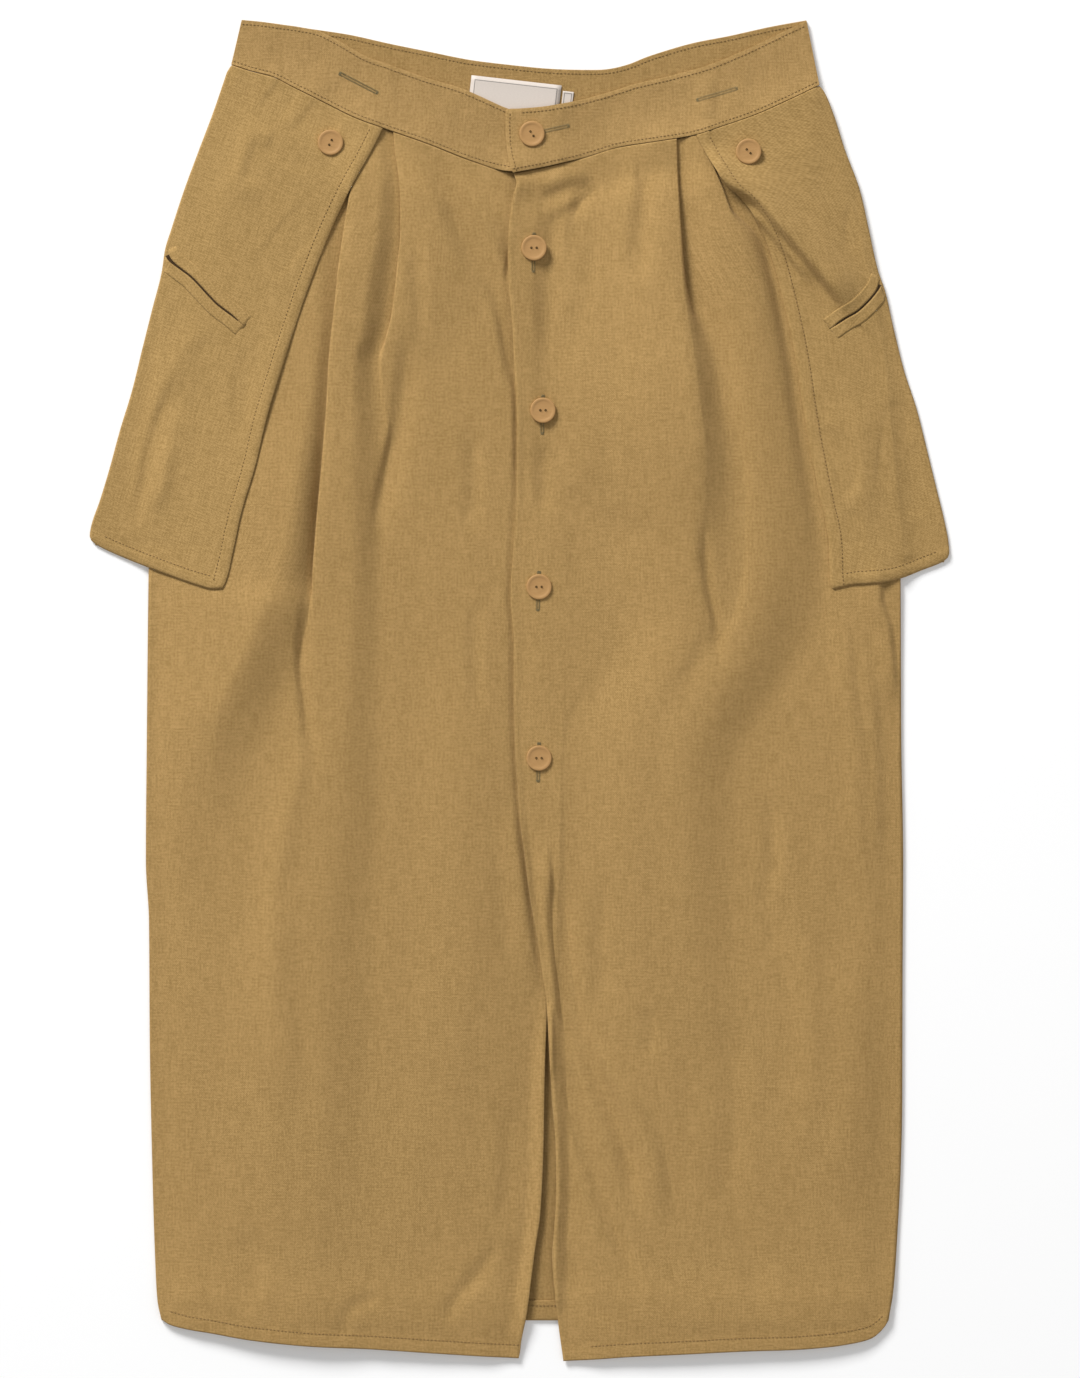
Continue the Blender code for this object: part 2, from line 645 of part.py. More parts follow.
def welt_grid(slit, near, far, outer, layers):
    """Strip beside a pocket slit, laid on the flap and ended short of its folded edge."""
    grid = []
    for away in (near, (near + far) / 2, far):
        first = 0.0
        point = beside(slit, first, away)
        while abs(point.x) > read_line(outer, point.y) - WELT_EDGE:
            first += 0.01
            point = beside(slit, first, away)
        row = []
        for c in range(WELT_COLUMNS):
            point = beside(slit, first + (1 - first) * c / (WELT_COLUMNS - 1), away)
            row.append((point.x, point.y, rest_on(layers, point.x, point.y, WELT_WALL, WELT_REACH)))
        grid.append(row)
    return grid


def add_button(name, x, y, angle, layers, material, collection, cutters):
    """Two-hole button with a raised rim and a dished face."""
    seat = rest_on(layers, x, y, 0, BUTTON_ACROSS / 2) - CLEAR
    form = bmesh.new()
    bmesh.ops.create_cone(
        form, cap_ends=True, cap_tris=False, segments=BUTTON_SIDES,
        radius1=BUTTON_ACROSS / 2 * MM, radius2=BUTTON_ACROSS / 2 * MM, depth=BUTTON_THICK * MM,
    )
    face = max(form.faces, key=lambda item: item.calc_center_median().z)
    bmesh.ops.inset_region(form, faces=[face], thickness=BUTTON_RIM * MM, depth=0)
    bmesh.ops.inset_region(form, faces=[face], thickness=BUTTON_EDGE * MM, depth=-BUTTON_DISH * MM)
    middle = Vector((x, y, seat + BUTTON_THICK / 2)) * MM
    bmesh.ops.translate(form, verts=form.verts, vec=middle)
    mesh = bpy.data.meshes.new(name)
    form.to_mesh(mesh)
    form.free()
    mesh.materials.append(material)
    item = bpy.data.objects.new(name, mesh)
    collection.objects.link(item)
    rim = item.modifiers.new("rim", "BEVEL")
    rim.width = BUTTON_EDGE * MM
    rim.segments = 1
    rim.limit_method = "ANGLE"
    rim.angle_limit = math.radians(60)
    for number, way in enumerate((-0.5, 0.5)):
        turn = math.radians(angle)
        hole = bmesh.new()
        bmesh.ops.create_cone(
            hole, cap_ends=True, cap_tris=False, segments=HOLE_SIDES,
            radius1=HOLE_ACROSS / 2 * MM, radius2=HOLE_ACROSS / 2 * MM, depth=BUTTON_THICK * 2 * MM,
        )
        across = Vector((math.cos(turn), math.sin(turn), 0)) * HOLE_SPACING * way * MM
        bmesh.ops.translate(hole, verts=hole.verts, vec=middle + across)
        hole_mesh = bpy.data.meshes.new(f"{name}_hole_{number + 1}")
        hole.to_mesh(hole_mesh)
        hole.free()
        cutter = bpy.data.objects.new(f"{name}_hole_{number + 1}", hole_mesh)
        cutters.objects.link(cutter)
        cutter.hide_render = True
        cutter.display_type = "WIRE"
        cut = item.modifiers.new(f"hole_{number + 1}", "BOOLEAN")
        cut.operation = "DIFFERENCE"
        cut.solver = "EXACT"
        cut.object = cutter
    return item


def build():
    """Make every piece, from the floor up."""
    for item in list(bpy.data.objects):
        bpy.data.objects.remove(item)
    skirt = bpy.data.collections.new("cargo_utility_skirt")
    bpy.context.scene.collection.children.link(skirt)
    cutters = bpy.data.collections.new("button_hole_cutters")
    bpy.context.scene.collection.children.link(cutters)
    cutters.hide_render = True

    plans = {
        LEFT: flap_plan(FLAP_EDGE_LEFT, FLAP_OUTER_LEFT, SEAM_LEFT, FLAP_HEM_LEFT, LEFT, FLAP_COLUMNS),
        RIGHT: flap_plan(FLAP_EDGE_RIGHT, FLAP_OUTER_RIGHT, SEAM_RIGHT, FLAP_HEM_RIGHT, RIGHT, FLAP_COLUMNS),
    }
    legs = {
        LEFT: flap_plan(FLAP_EDGE_LEFT, FLAP_OUTER_LEFT, SEAM_BACK, FLAP_HEM_LEFT, LEFT, LEG_COLUMNS),
        RIGHT: flap_plan(FLAP_EDGE_RIGHT, FLAP_OUTER_RIGHT, SEAM_BACK, FLAP_HEM_RIGHT, RIGHT, LEG_COLUMNS),
    }
    leg_layers = {}
    for side, plan in legs.items():
        leg_layers[side] = (make_tree([[(x, y, CLOTH / 2) for x, y in row] for row in plan]), CLOTH)

    back = back_grid([leg_layers[LEFT], leg_layers[RIGHT]])
    add_sheet("back_panel", back, CLOTH, make_material("linen_back", BACK_KHAKI, 0.9), skirt)
    back_layer = (make_tree(back), CLOTH)

    band_back = band_grid(TOP_BACK, SEAM_BACK, [], [], BAND_WALL, True)
    band_back_material = make_material("linen_band_back", BACK_KHAKI, 0.9)
    add_sheet("waistband_back", band_back, BAND_WALL, band_back_material, skirt)
    band_back_layer = (make_tree(band_back), BAND_WALL)

    label_material = make_material("woven_label", LABEL_WHITE, 0.8)
    label_main = label_grid(LABEL_MAIN_AT, LABEL_MAIN, [band_back_layer])
    add_sheet("label_main", label_main, LABEL_WALL, label_material, skirt)
    label_size = label_grid(LABEL_SIZE_AT, LABEL_SIZE, [band_back_layer])
    size_material = make_material("woven_label_size", LABEL_WHITE, 0.8)
    add_sheet("label_size", label_size, LABEL_WALL, size_material, skirt)
    label_layers = [(make_tree(label_main), LABEL_WALL), (make_tree(label_size), LABEL_WALL)]

    left = front_grid(
        LEFT, EDGE_LEFT, SIDE_LEFT, PLEATS_LEFT, RISE_LEFT, SEAM_LEFT, HEM_LEFT, [back_layer])
    add_sheet("front_panel_left", left, CLOTH, make_material("linen_left", KHAKI, 0.9), skirt)
    left_layer = (make_tree(left), CLOTH)
    right = front_grid(
        RIGHT, EDGE_RIGHT, SIDE_RIGHT, PLEATS_RIGHT, RISE_RIGHT, SEAM_RIGHT, HEM_RIGHT,
        [back_layer, left_layer])
    add_sheet("front_panel_right", right, CLOTH, make_material("linen_right", KHAKI, 0.9), skirt)
    right_layer = (make_tree(right), CLOTH)

    flap_layers = {}
    for side, word, front, folds in (
        (LEFT, "left", left_layer, FOLDS_FLAP_LEFT), (RIGHT, "right", right_layer, FOLDS_FLAP_RIGHT),
    ):
        grid = flap_grid(plans[side], legs[side], side, folds, [front, back_layer, leg_layers[side]])
        add_sheet(f"flap_{word}", grid, CLOTH, make_material(f"linen_flap_{word}", FLAP_KHAKI, 0.9), skirt)
        flap_layers[side] = (make_tree(grid), CLOTH)

    below = [back_layer, band_back_layer] + label_layers
    sewn_on = [left_layer, right_layer, flap_layers[LEFT], flap_layers[RIGHT]]
    band_left = band_grid(TOP_LEFT, SEAM_LEFT, below, sewn_on, BAND_WALL, False)
    band_left_material = make_material("linen_band_left", BAND_KHAKI, 0.9)
    add_sheet("waistband_front_left", band_left, BAND_WALL, band_left_material, skirt)
    below.append((make_tree(band_left), BAND_WALL))
    band_right = band_grid(TOP_RIGHT, SEAM_RIGHT, below, sewn_on, BAND_WALL, False)
    band_right_material = make_material("linen_band_right", BAND_KHAKI, 0.9)
    add_sheet("waistband_front_right", band_right, BAND_WALL, band_right_material, skirt)
    band_right_layer = (make_tree(band_right), BAND_WALL)

    for side, word, slit, outer in (
        (LEFT, "left", SLIT_LEFT, FLAP_OUTER_LEFT), (RIGHT, "right", SLIT_RIGHT, FLAP_OUTER_RIGHT),
    ):
        near = SLIT_WIDTH / 2
        far = near + WELT_WIDTH
        upper = 1 if side == LEFT else -1
        for name, way in (("upper", upper), ("lower", -upper)):
            grid = welt_grid(slit, near * way, far * way, outer, [flap_layers[side]])
            material = make_material(f"linen_welt_{word}_{name}", WELT_KHAKI, 0.9)
            add_sheet(f"welt_{word}_{name}", grid, WELT_WALL, material, skirt)

    carriers = {
        "button_waist": band_right_layer, "button_flap_left": flap_layers[LEFT],
        "button_flap_right": flap_layers[RIGHT],
    }
    for name, x, y, angle in BUTTONS:
        material = make_material(f"corozo_{name}", COROZO, 0.55)
        add_button(name, x, y, angle, [carriers.get(name, right_layer)], material, skirt, cutters)


build()
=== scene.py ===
# Cargo utility skirt laid flat with its front up.
# Tables are in millimetres, x to the right, y to the waist, "out" away from the middle.
import math
import bpy
import numpy as np
from mathutils import Matrix, Vector
from mathutils.bvhtree import BVHTree


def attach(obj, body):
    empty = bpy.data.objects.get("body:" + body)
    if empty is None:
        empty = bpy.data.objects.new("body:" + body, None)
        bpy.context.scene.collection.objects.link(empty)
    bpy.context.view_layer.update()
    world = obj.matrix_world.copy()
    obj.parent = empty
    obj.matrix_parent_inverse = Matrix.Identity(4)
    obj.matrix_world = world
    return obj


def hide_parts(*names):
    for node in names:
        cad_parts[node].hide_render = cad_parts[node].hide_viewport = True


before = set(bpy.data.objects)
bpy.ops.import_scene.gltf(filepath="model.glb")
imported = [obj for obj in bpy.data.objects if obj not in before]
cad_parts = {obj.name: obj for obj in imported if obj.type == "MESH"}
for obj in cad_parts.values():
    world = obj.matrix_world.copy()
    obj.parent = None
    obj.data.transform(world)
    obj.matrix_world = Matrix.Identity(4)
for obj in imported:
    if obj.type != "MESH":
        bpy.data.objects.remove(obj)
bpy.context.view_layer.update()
scene = bpy.context.scene
mm = 0.001
left, right = -1, 1
sideWord = {left: "Left", right: "Right"}
print("frame loaded")


def readLine(table, where, column=1):
    # smooth value in a column of a table, without overshoot between its rows
    rows = np.array(sorted([float(v) for v in row] for row in table))
    at, value = rows[:, 0], rows[:, column]
    gap = np.diff(at)
    rate = np.diff(value) / gap
    slope = np.zeros(len(at))
    slope[0], slope[-1] = rate[0], rate[-1]
    for i in range(1, len(at) - 1):
        if rate[i - 1] * rate[i] > 0:
            a, b = 2 * gap[i] + gap[i - 1], gap[i] + 2 * gap[i - 1]
            slope[i] = (a + b) / (a / rate[i - 1] + b / rate[i])
    where = np.clip(where, at[0], at[-1])
    i = np.clip(np.searchsorted(at, where, side="right") - 1, 0, len(gap) - 1)
    t = (where - at[i]) / gap[i]
    return ((1 + 2 * t) * (1 - t) ** 2 * value[i] + t * (1 - t) ** 2 * gap[i] * slope[i]
            + t * t * (3 - 2 * t) * value[i + 1] + t * t * (t - 1) * gap[i] * slope[i + 1])


def smooth(part):
    part = np.clip(part, 0, 1)
    return part * part * (3 - 2 * part)


def bell(away, width):
    return np.exp(-(away / width) ** 2)


def curveThrough(points, step):
    # evenly spaced points on a smooth curve through a few
    pts = np.array(points, float)
    if len(pts) > 2:
        ext = np.vstack([2 * pts[0] - pts[1], pts, 2 * pts[-1] - pts[-2]])
        fine = []
        for a, b, c, d in zip(ext, ext[1:], ext[2:], ext[3:]):
            for t in np.linspace(0, 1, 13)[:-1]:
                square = (2 * a - 5 * b + 4 * c - d) * t * t
                cube = (3 * b - a - 3 * c + d) * t ** 3
                fine.append(0.5 * (2 * b + (c - a) * t + square + cube))
        pts = np.array(fine + [pts[-1]])
    run = np.concatenate([[0], np.cumsum(np.linalg.norm(np.diff(pts, axis=0), axis=1))])
    want = np.linspace(0, run[-1], max(2, int(round(run[-1] / step)) + 1))
    return np.stack([np.interp(want, run, pts[:, k]) for k in range(pts.shape[1])], axis=1)


def acrossOf(path):
    # unit vectors to the left of a path at each of its points
    step = np.gradient(path, axis=0)
    across = np.stack([-step[:, 1], step[:, 0]], axis=-1)
    return across / np.linalg.norm(across, axis=1, keepdims=True)


def foldsAt(folds, x, y):
    # soft troughs and ridges laid along short curves, a row for each: height, width to each side,
    # lean (above 0 the side on the left of the path is the wider one), sharpness of the crest,
    # height kept at its start and its end (0 none, 1 all), path
    total = np.zeros_like(x)
    for height, width, lean, sharp, startKept, endKept, points in folds:
        path = curveThrough(points, 6)
        room = width * (1 + abs(lean))
        low, high = path.min(0) - room, path.max(0) + room
        near = (x > low[0]) & (x < high[0]) & (y > low[1]) & (y < high[1])
        if not near.any():
            continue
        px, py = x[near], y[near]
        best, part = np.full(px.shape, 1e9), np.zeros(px.shape)
        steps = len(path) - 1
        for k in range(steps):
            sx, sy = path[k + 1] - path[k]
            t = np.clip(((px - path[k][0]) * sx + (py - path[k][1]) * sy) / (sx * sx + sy * sy), 0, 1)
            dx, dy = px - path[k][0] - sx * t, py - path[k][1] - sy * t
            away = np.hypot(dx, dy)
            closer = away < np.abs(best)
            best[closer] = (away * np.sign(sx * dy - sy * dx))[closer]
            part[closer] = ((k + t) / steps)[closer]
        across = np.clip(1 - np.abs(best) / (width * np.where(best > 0, 1 + lean, 1 - lean)), 0, 1)
        shape = (1 - sharp) * across * across * (3 - 2 * across) + sharp * across ** 1.6
        taper = smooth(part / 0.3 + startKept) * smooth((1 - part) / 0.3 + endKept)
        total[near] += height * shape * taper
    return total


def rippleAt(x, y, seed, height, across, along, turn=0.0):
    # uneven waves, longer down the cloth than across it
    rng = np.random.RandomState(seed)
    c, s = math.cos(math.radians(turn)), math.sin(math.radians(turn))
    u, v = x * c + y * s, -x * s + y * c
    total = np.zeros_like(x)
    for k in range(7):
        wu = across * rng.uniform(0.6, 1.7)
        wv = along * rng.uniform(0.6, 1.8)
        bend = rng.uniform(6, 18) * np.sin(v / (wv * 0.4) + rng.uniform(0, 6.3))
        wave = np.sin(2 * math.pi * ((u + bend) / wu) + rng.uniform(0, 6.3))
        total += wave * np.cos(2 * math.pi * v / wv + rng.uniform(0, 6.3))
    return total * height / 2.6


def layerOf(grid, wall):
    # a laid sheet for others to lie on: its middle surface and its wall
    rows, cols = grid.shape[:2]
    faces = [(r * cols + c, r * cols + c + 1, (r + 1) * cols + c + 1, (r + 1) * cols + c)
             for r in range(rows - 1) for c in range(cols - 1)]
    return BVHTree.FromPolygons([Vector(p) for p in grid.reshape(-1, 3)], faces), wall


def restOn(layers, x, y, wall, reach, gap=0.25):
    # height of a sheet's middle where it lies on what is below it
    down = Vector((0, 0, -1))
    height = np.full(x.shape, wall / 2)
    offsets = [(0, 0)] + [(reach * math.cos(a), reach * math.sin(a)) for a in np.arange(6) * math.pi / 3]
    flatX, flatY, flatZ = x.ravel(), y.ravel(), height.ravel()
    for i in range(len(flatX)):
        for tree, below in layers:
            for dx, dy in offsets:
                hit = tree.ray_cast(Vector((flatX[i] + dx, flatY[i] + dy, 90)), down)[0]
                if hit is not None:
                    flatZ[i] = max(flatZ[i], hit.z + below / 2 + gap + wall / 2)
    return flatZ.reshape(x.shape)


def settle(need, rounds):
    # cloth spans softly between the points that hold it up
    z = need.copy()
    for k in range(rounds):
        p = np.pad(z, 1, mode="edge")
        z = np.maximum(need, (p[:-2, 1:-1] + p[2:, 1:-1] + p[1:-1, :-2] + p[1:-1, 2:]) / 4)
    return z


def newPiece(name, points, faces, material):
    mesh = bpy.data.meshes.new(name)
    mesh.from_pydata((np.array(points) * mm).tolist(), [], faces)
    mesh.polygons.foreach_set("use_smooth", [True] * len(mesh.polygons))
    mesh.materials.append(material)
    piece = bpy.data.objects.new(name, mesh)
    scene.collection.objects.link(piece)
    return piece


def makeSheet(name, grid, wall, material, turn=0.0, rim=0.0):
    # cloth through a grid of points with a wall half to each side; its UV map is in metres along the threads
    rows, cols = grid.shape[:2]
    index = np.arange(rows * cols).reshape(rows, cols)
    faces = np.stack([index[:-1, :-1], index[1:, :-1], index[1:, 1:], index[:-1, 1:]], axis=-1).reshape(-1, 4)
    if np.cross(grid[1, 0] - grid[0, 0], grid[0, 1] - grid[0, 0])[2] <= 0:
        faces = faces[:, ::-1]
    piece = newPiece(name, grid.reshape(-1, 3), faces.tolist(), material)
    flat = grid * mm
    steps = np.linalg.norm(np.diff(flat, axis=1), axis=2)
    run = np.cumsum(np.concatenate([np.zeros((rows, 1)), steps], axis=1), axis=1)
    run = run - run[:, :1] + flat[:, :1, 0] * (1 if flat[0, -1, 0] > flat[0, 0, 0] else -1)
    c, s = math.cos(math.radians(turn)), math.sin(math.radians(turn))
    uv = np.stack([run * c - flat[..., 1] * s, run * s + flat[..., 1] * c], axis=-1)
    piece.data.uv_layers.new(name="cloth").data.foreach_set("uv", uv.reshape(-1, 2)[faces.ravel()].ravel())
    solid = piece.modifiers.new("wall", "SOLIDIFY")
    solid.thickness = wall * mm
    solid.offset = 0
    if rim:
        addBevel(piece, rim, 2, 60)
    return piece


def addBevel(piece, width, segments, angle):
    bevel = piece.modifiers.new("rim", "BEVEL")
    bevel.width = width * mm
    bevel.segments = segments
    bevel.limit_method = "ANGLE"
    bevel.angle_limit = math.radians(angle)


def deselectAll():
    for item in bpy.context.selected_objects:
        item.select_set(False)


def newGroup(name, inputs, outputs):
    tree = bpy.data.node_groups.new(name, "ShaderNodeTree")
    for title, kind, value in inputs:
        socket = tree.interface.new_socket(title, in_out="INPUT", socket_type="NodeSocket" + kind)
        if value is not None:
            socket.default_value = value
    for title, kind in outputs:
        tree.interface.new_socket(title, in_out="OUTPUT", socket_type="NodeSocket" + kind)
    return tree, tree.nodes.new("NodeGroupInput").outputs, tree.nodes.new("NodeGroupOutput").inputs


def fillSocket(tree, socket, value):
    if isinstance(value, bpy.types.NodeSocket):
        tree.links.new(value, socket)
    else:
        socket.default_value = value


def mathNode(tree, kind, *values, clamp=False):
    node = tree.nodes.new("ShaderNodeMath")
    node.operation = kind
    node.use_clamp = clamp
    for socket, value in zip(node.inputs, values):
        fillSocket(tree, socket, value)
    return node.outputs[0]


def swing(tree, noise, gain, base=0.0, clamp=False):
    # a pattern's swing about its middle, times a gain, on a base
    return mathNode(tree, "MULTIPLY_ADD", mathNode(tree, "SUBTRACT", noise, 0.5), gain, base, clamp=clamp)


def noiseNode(tree, vector, size, detail=2.0, rough=0.5):
    # size is how many metres the pattern runs along each thread direction
    place = tree.nodes.new("ShaderNodeMapping")
    place.inputs["Scale"].default_value = (1 / size[0], 1 / size[1], 1 / size[2] if len(size) > 2 else 1.0)
    tree.links.new(vector, place.inputs["Vector"])
    node = tree.nodes.new("ShaderNodeTexNoise")
    node.inputs["Scale"].default_value = 1.0
    node.inputs["Detail"].default_value = detail
    node.inputs["Roughness"].default_value = rough
    tree.links.new(place.outputs[0], node.inputs["Vector"])
    return node.outputs["Fac"]


def mixColour(tree, factor, a, b):
    node = tree.nodes.new("ShaderNodeMix")
    node.data_type = "RGBA"
    for socket, value in ((node.inputs[0], factor), (node.inputs[6], a), (node.inputs[7], b)):
        fillSocket(tree, socket, value)
    return node.outputs[2]


def linenGroup():
    # plain weave with slubs both ways; the vector runs in metres along the threads
    tree, given, made = newGroup("linenWeave", [
        ("Vector", "Vector", None), ("Pitch", "Float", 0.0007), ("Light", "Color", (0.5, 0.33, 0.14, 1)),
        ("Dark", "Color", (0.3, 0.18, 0.06, 1)), ("Slub", "Float", 1.0), ("Cloud", "Float", 1.0),
    ], [("Color", "Color"), ("Height", "Float"), ("Rough", "Float")])
    vector = given["Vector"]
    split = tree.nodes.new("ShaderNodeSeparateXYZ")
    tree.links.new(vector, split.inputs[0])
    drift = swing(tree, noiseNode(tree, vector, (0.006, 0.006), 1), 0.0006)
    waves = []
    for axis in (0, 1):
        along = mathNode(tree, "DIVIDE", mathNode(tree, "ADD", split.outputs[axis], drift), given["Pitch"])
        waves.append(mathNode(tree, "SINE", mathNode(tree, "MULTIPLY", along, math.pi)))
    weave = mathNode(tree, "MULTIPLY_ADD", mathNode(tree, "MULTIPLY", *waves), 0.5, 0.5)
    slubAcross = noiseNode(tree, vector, (0.010, 0.0010), 2, 0.55)
    slubDown = noiseNode(tree, vector, (0.0010, 0.013), 2, 0.55)
    longAcross = noiseNode(tree, vector, (0.05, 0.0014), 1)
    speck = noiseNode(tree, vector, (0.0012, 0.0012), 2, 0.6)
    cloud = noiseNode(tree, vector, (0.06, 0.1))
    streak = noiseNode(tree, vector, (0.0045, 0.06))
    bothSlubs = mathNode(tree, "SUBTRACT", mathNode(tree, "ADD", slubAcross, slubDown), 1.0)
    slub = mathNode(tree, "MULTIPLY", bothSlubs, given["Slub"])
    rare = mathNode(tree, "MAXIMUM", mathNode(tree, "SUBTRACT", longAcross, 0.62), 0.0)
    tone = swing(tree, weave, 0.5, 0.5)
    tone = mathNode(tree, "MULTIPLY_ADD", slub, 1.5, tone)
    tone = swing(tree, speck, 2.9, tone)
    tone = swing(tree, streak, 0.4, tone)
    tone = mathNode(tree, "MULTIPLY_ADD", rare, 1.6, tone)
    tone = swing(tree, cloud, mathNode(tree, "MULTIPLY", given["Cloud"], 0.22), tone, clamp=True)
    height = mathNode(tree, "MULTIPLY_ADD", slub, 0.8, mathNode(tree, "MULTIPLY", weave, 0.6))
    tree.links.new(mixColour(tree, tone, given["Dark"], given["Light"]), made["Color"])
    tree.links.new(height, made["Height"])
    tree.links.new(mathNode(tree, "MULTIPLY_ADD", tone, -0.08, 0.92), made["Rough"])
    return tree


def threadGroup():
    # twisted sewing thread
    tree, given, made = newGroup("threadTwist", [
        ("Vector", "Vector", None), ("Colour", "Color", (0.3, 0.2, 0.1, 1)), ("Vary", "Float", 0.3),
    ], [("Color", "Color"), ("Height", "Float")])
    fine = noiseNode(tree, given["Vector"], (0.0006, 0.0006, 0.0006))
    broad = noiseNode(tree, given["Vector"], (0.004, 0.004, 0.004), 1)
    tone = mathNode(tree, "MULTIPLY_ADD", fine, 0.5, mathNode(tree, "MULTIPLY", broad, 0.5))
    dark = mixColour(tree, given["Vary"], given["Colour"], (0.05, 0.03, 0.01, 1))
    tree.links.new(mixColour(tree, tone, dark, given["Colour"]), made["Color"])
    tree.links.new(fine, made["Height"])
    return tree


linenNodes = linenGroup()
threadNodes = threadGroup()


def startMaterial(name):
    material = bpy.data.materials.new(name)
    material.use_nodes = True
    return material, material.node_tree, material.node_tree.nodes["Principled BSDF"]


def useGroup(tree, group, values):
    node = tree.nodes.new("ShaderNodeGroup")
    node.node_tree = group
    for title, value in values.items():
        fillSocket(tree, node.inputs[title], value)
    return node.outputs


def clothMap(tree):
    node = tree.nodes.new("ShaderNodeUVMap")
    node.uv_map = "cloth"
    return node.outputs[0]


def addBump(tree, shader, height, distance, strength):
    bump = tree.nodes.new("ShaderNodeBump")
    bump.inputs["Distance"].default_value = distance
    bump.inputs["Strength"].default_value = strength
    tree.links.new(height, bump.inputs["Height"])
    tree.links.new(bump.outputs[0], shader.inputs["Normal"])


def linenMaterial(name, light, dark):
    material, tree, shader = startMaterial(name)
    weave = useGroup(tree, linenNodes, {"Vector": clothMap(tree), "Pitch": clothLook["pitch"],
                                        "Light": light, "Dark": dark})
    tree.links.new(weave["Color"], shader.inputs["Base Color"])
    tree.links.new(weave["Rough"], shader.inputs["Roughness"])
    addBump(tree, shader, weave["Height"], 0.00025, 0.55)
    shader.inputs["Sheen Weight"].default_value = clothLook["sheen"]
    shader.inputs["Sheen Roughness"].default_value = 0.6
    shader.inputs["Specular IOR Level"].default_value = 0.15
    return material


def threadMaterial(name, colour):
    material, tree, shader = startMaterial(name)
    where = tree.nodes.new("ShaderNodeTexCoord").outputs["Object"]
    twist = useGroup(tree, threadNodes, {"Vector": where, "Colour": colour, "Vary": 0.35})
    tree.links.new(twist["Color"], shader.inputs["Base Color"])
    addBump(tree, shader, twist["Height"], 0.0001, 0.4)
    shader.inputs["Roughness"].default_value = 0.75
    shader.inputs["Specular IOR Level"].default_value = 0.3
    return material


clothLook = {
    "pitch": 0.00072, "sheen": 0.05,
    "front": ((0.456, 0.284, 0.105, 1), (0.312, 0.191, 0.063, 1)),  # light thread, dark thread
    "band": ((0.436, 0.272, 0.103, 1), (0.300, 0.184, 0.062, 1)),
    "flap": ((0.448, 0.282, 0.104, 1), (0.308, 0.190, 0.062, 1)),
    # painted shade: the near-black strip seen between the welt lips stands in for the shadow inside the
    # pocket
    "pocket": ((0.060, 0.032, 0.010, 1), (0.035, 0.018, 0.006, 1)),
    # painted shade: a darker copy of the front linen for the back panel and back band, standing for the shade
    # they lie in under the fronts
    "inside": ((0.410, 0.254, 0.092, 1), (0.280, 0.170, 0.055, 1)),
    "seamThread": (0.300, 0.184, 0.066, 1), "holeThread": (0.220, 0.180, 0.085, 1),
}
linenFront = linenMaterial("linenFront", *clothLook["front"])
linenBand = linenMaterial("linenBand", *clothLook["band"])
linenFlap = linenMaterial("linenFlap", *clothLook["flap"])
linenPocketShade = linenMaterial("linenPocketShade", *clothLook["pocket"])
linenInsideShade = linenMaterial("linenInsideShade", *clothLook["inside"])
seamThread = threadMaterial("seamThread", clothLook["seamThread"])
holeThread = threadMaterial("buttonholeThread", clothLook["holeThread"])
print("materials made")


outline = {
    "side": {
        left: [  # y, out
            (398, 178), (372, 187), (346, 197), (314, 209), (282, 217), (250, 224), (186, 231), (122, 236),
            (84, 237), (-32, 238.4), (-109, 239), (-147, 237), (-224, 236.5), (-301, 235), (-365, 233),
            (-390, 231.5), (-402, 229)],
        right: [
            (386, 186), (372, 192), (346, 201), (314, 211), (282, 219), (250, 226), (186, 235), (122, 241),
            (84, 243.5), (-32, 244.2), (-109, 245.4), (-185, 245), (-262, 244.8), (-301, 244),
            (-339, 242.2), (-384, 239), (-402, 236)],
    },
    "edge": {
        left: [  # y, x
            (338, 26), (58, 26), (-70, 23.4), (-166, 20.2), (-213, 17.3), (-244, 16.1), (-291, 15.3),
            (-337, 13), (-352, 10.7), (-375, 7.6), (-397, 4.8), (-414, 1.4), (-427, -0.6)],
        right: [
            (338, -3.4), (330, -3.2), (324, -1.7), (317, -3.7), (307, -5.4), (290, -7), (263, -6.8),
            (239, -4.8), (210, -3.3), (173, -1.3), (122, -2), (89, -4), (59, -5.6), (32, -3.5), (-4, -3.5),
            (-40, -2.6), (-64, -1), (-83, 0.3), (-106, 3.5), (-136, 7.4), (-155, 10.8), (-181, 14.7),
            (-198, 17.3), (-224, 18.9), (-259, 20.7), (-291, 23.3), (-322, 23.7), (-346, 22.2),
            (-361, 21.2), (-383, 22.7), (-403, 24.6), (-428, 28)],
    },
    "seam": {
        left: [  # x, y
            (-184.3, 400.1), (-171.2, 395.8), (-157.8, 392.3), (-144.6, 385.7), (-122.6, 374.7),
            (-105, 365.9), (-87.4, 359.4), (-58.7, 349.4), (-30, 338.4), (-4.2, 331.5), (26, 337)],
        right: [
            (-4.2, 330.4), (18.8, 335), (40.8, 340.5), (62.8, 347.2), (84.8, 350.4), (112.3, 354.9),
            (129, 360.4), (151, 368.1), (173.1, 378), (191.7, 386.9)],
    },
    "hem": {
        left: [
            (-229.4, -401.6), (-223.7, -405.4), (-210.9, -408.6), (-198.1, -410.6), (-172.5, -415),
            (-134.1, -418.9), (-95.7, -420.8), (-57.3, -423.4), (-18.9, -425.9), (0, -427)],
        right: [
            (27.8, -428.8), (45.1, -427.8), (70.7, -425.9), (109.1, -424), (147.5, -422.1), (173.1, -421.4),
            (198.7, -419.5), (211.5, -417.6), (224.3, -414.5), (232.5, -408), (236.5, -401.6)],
    },
    "seamBack": [
        (-184.3, 399.5), (-87, 374), (-30, 363), (45, 357), (75, 360.5), (112, 369), (191.7, 387.4)],
    "hemBack": -402.9,
}
clothWall = {"linen": 0.8, "band": 1.1, "welt": 0.2, "label": 0.4, "pocket": 0.06}


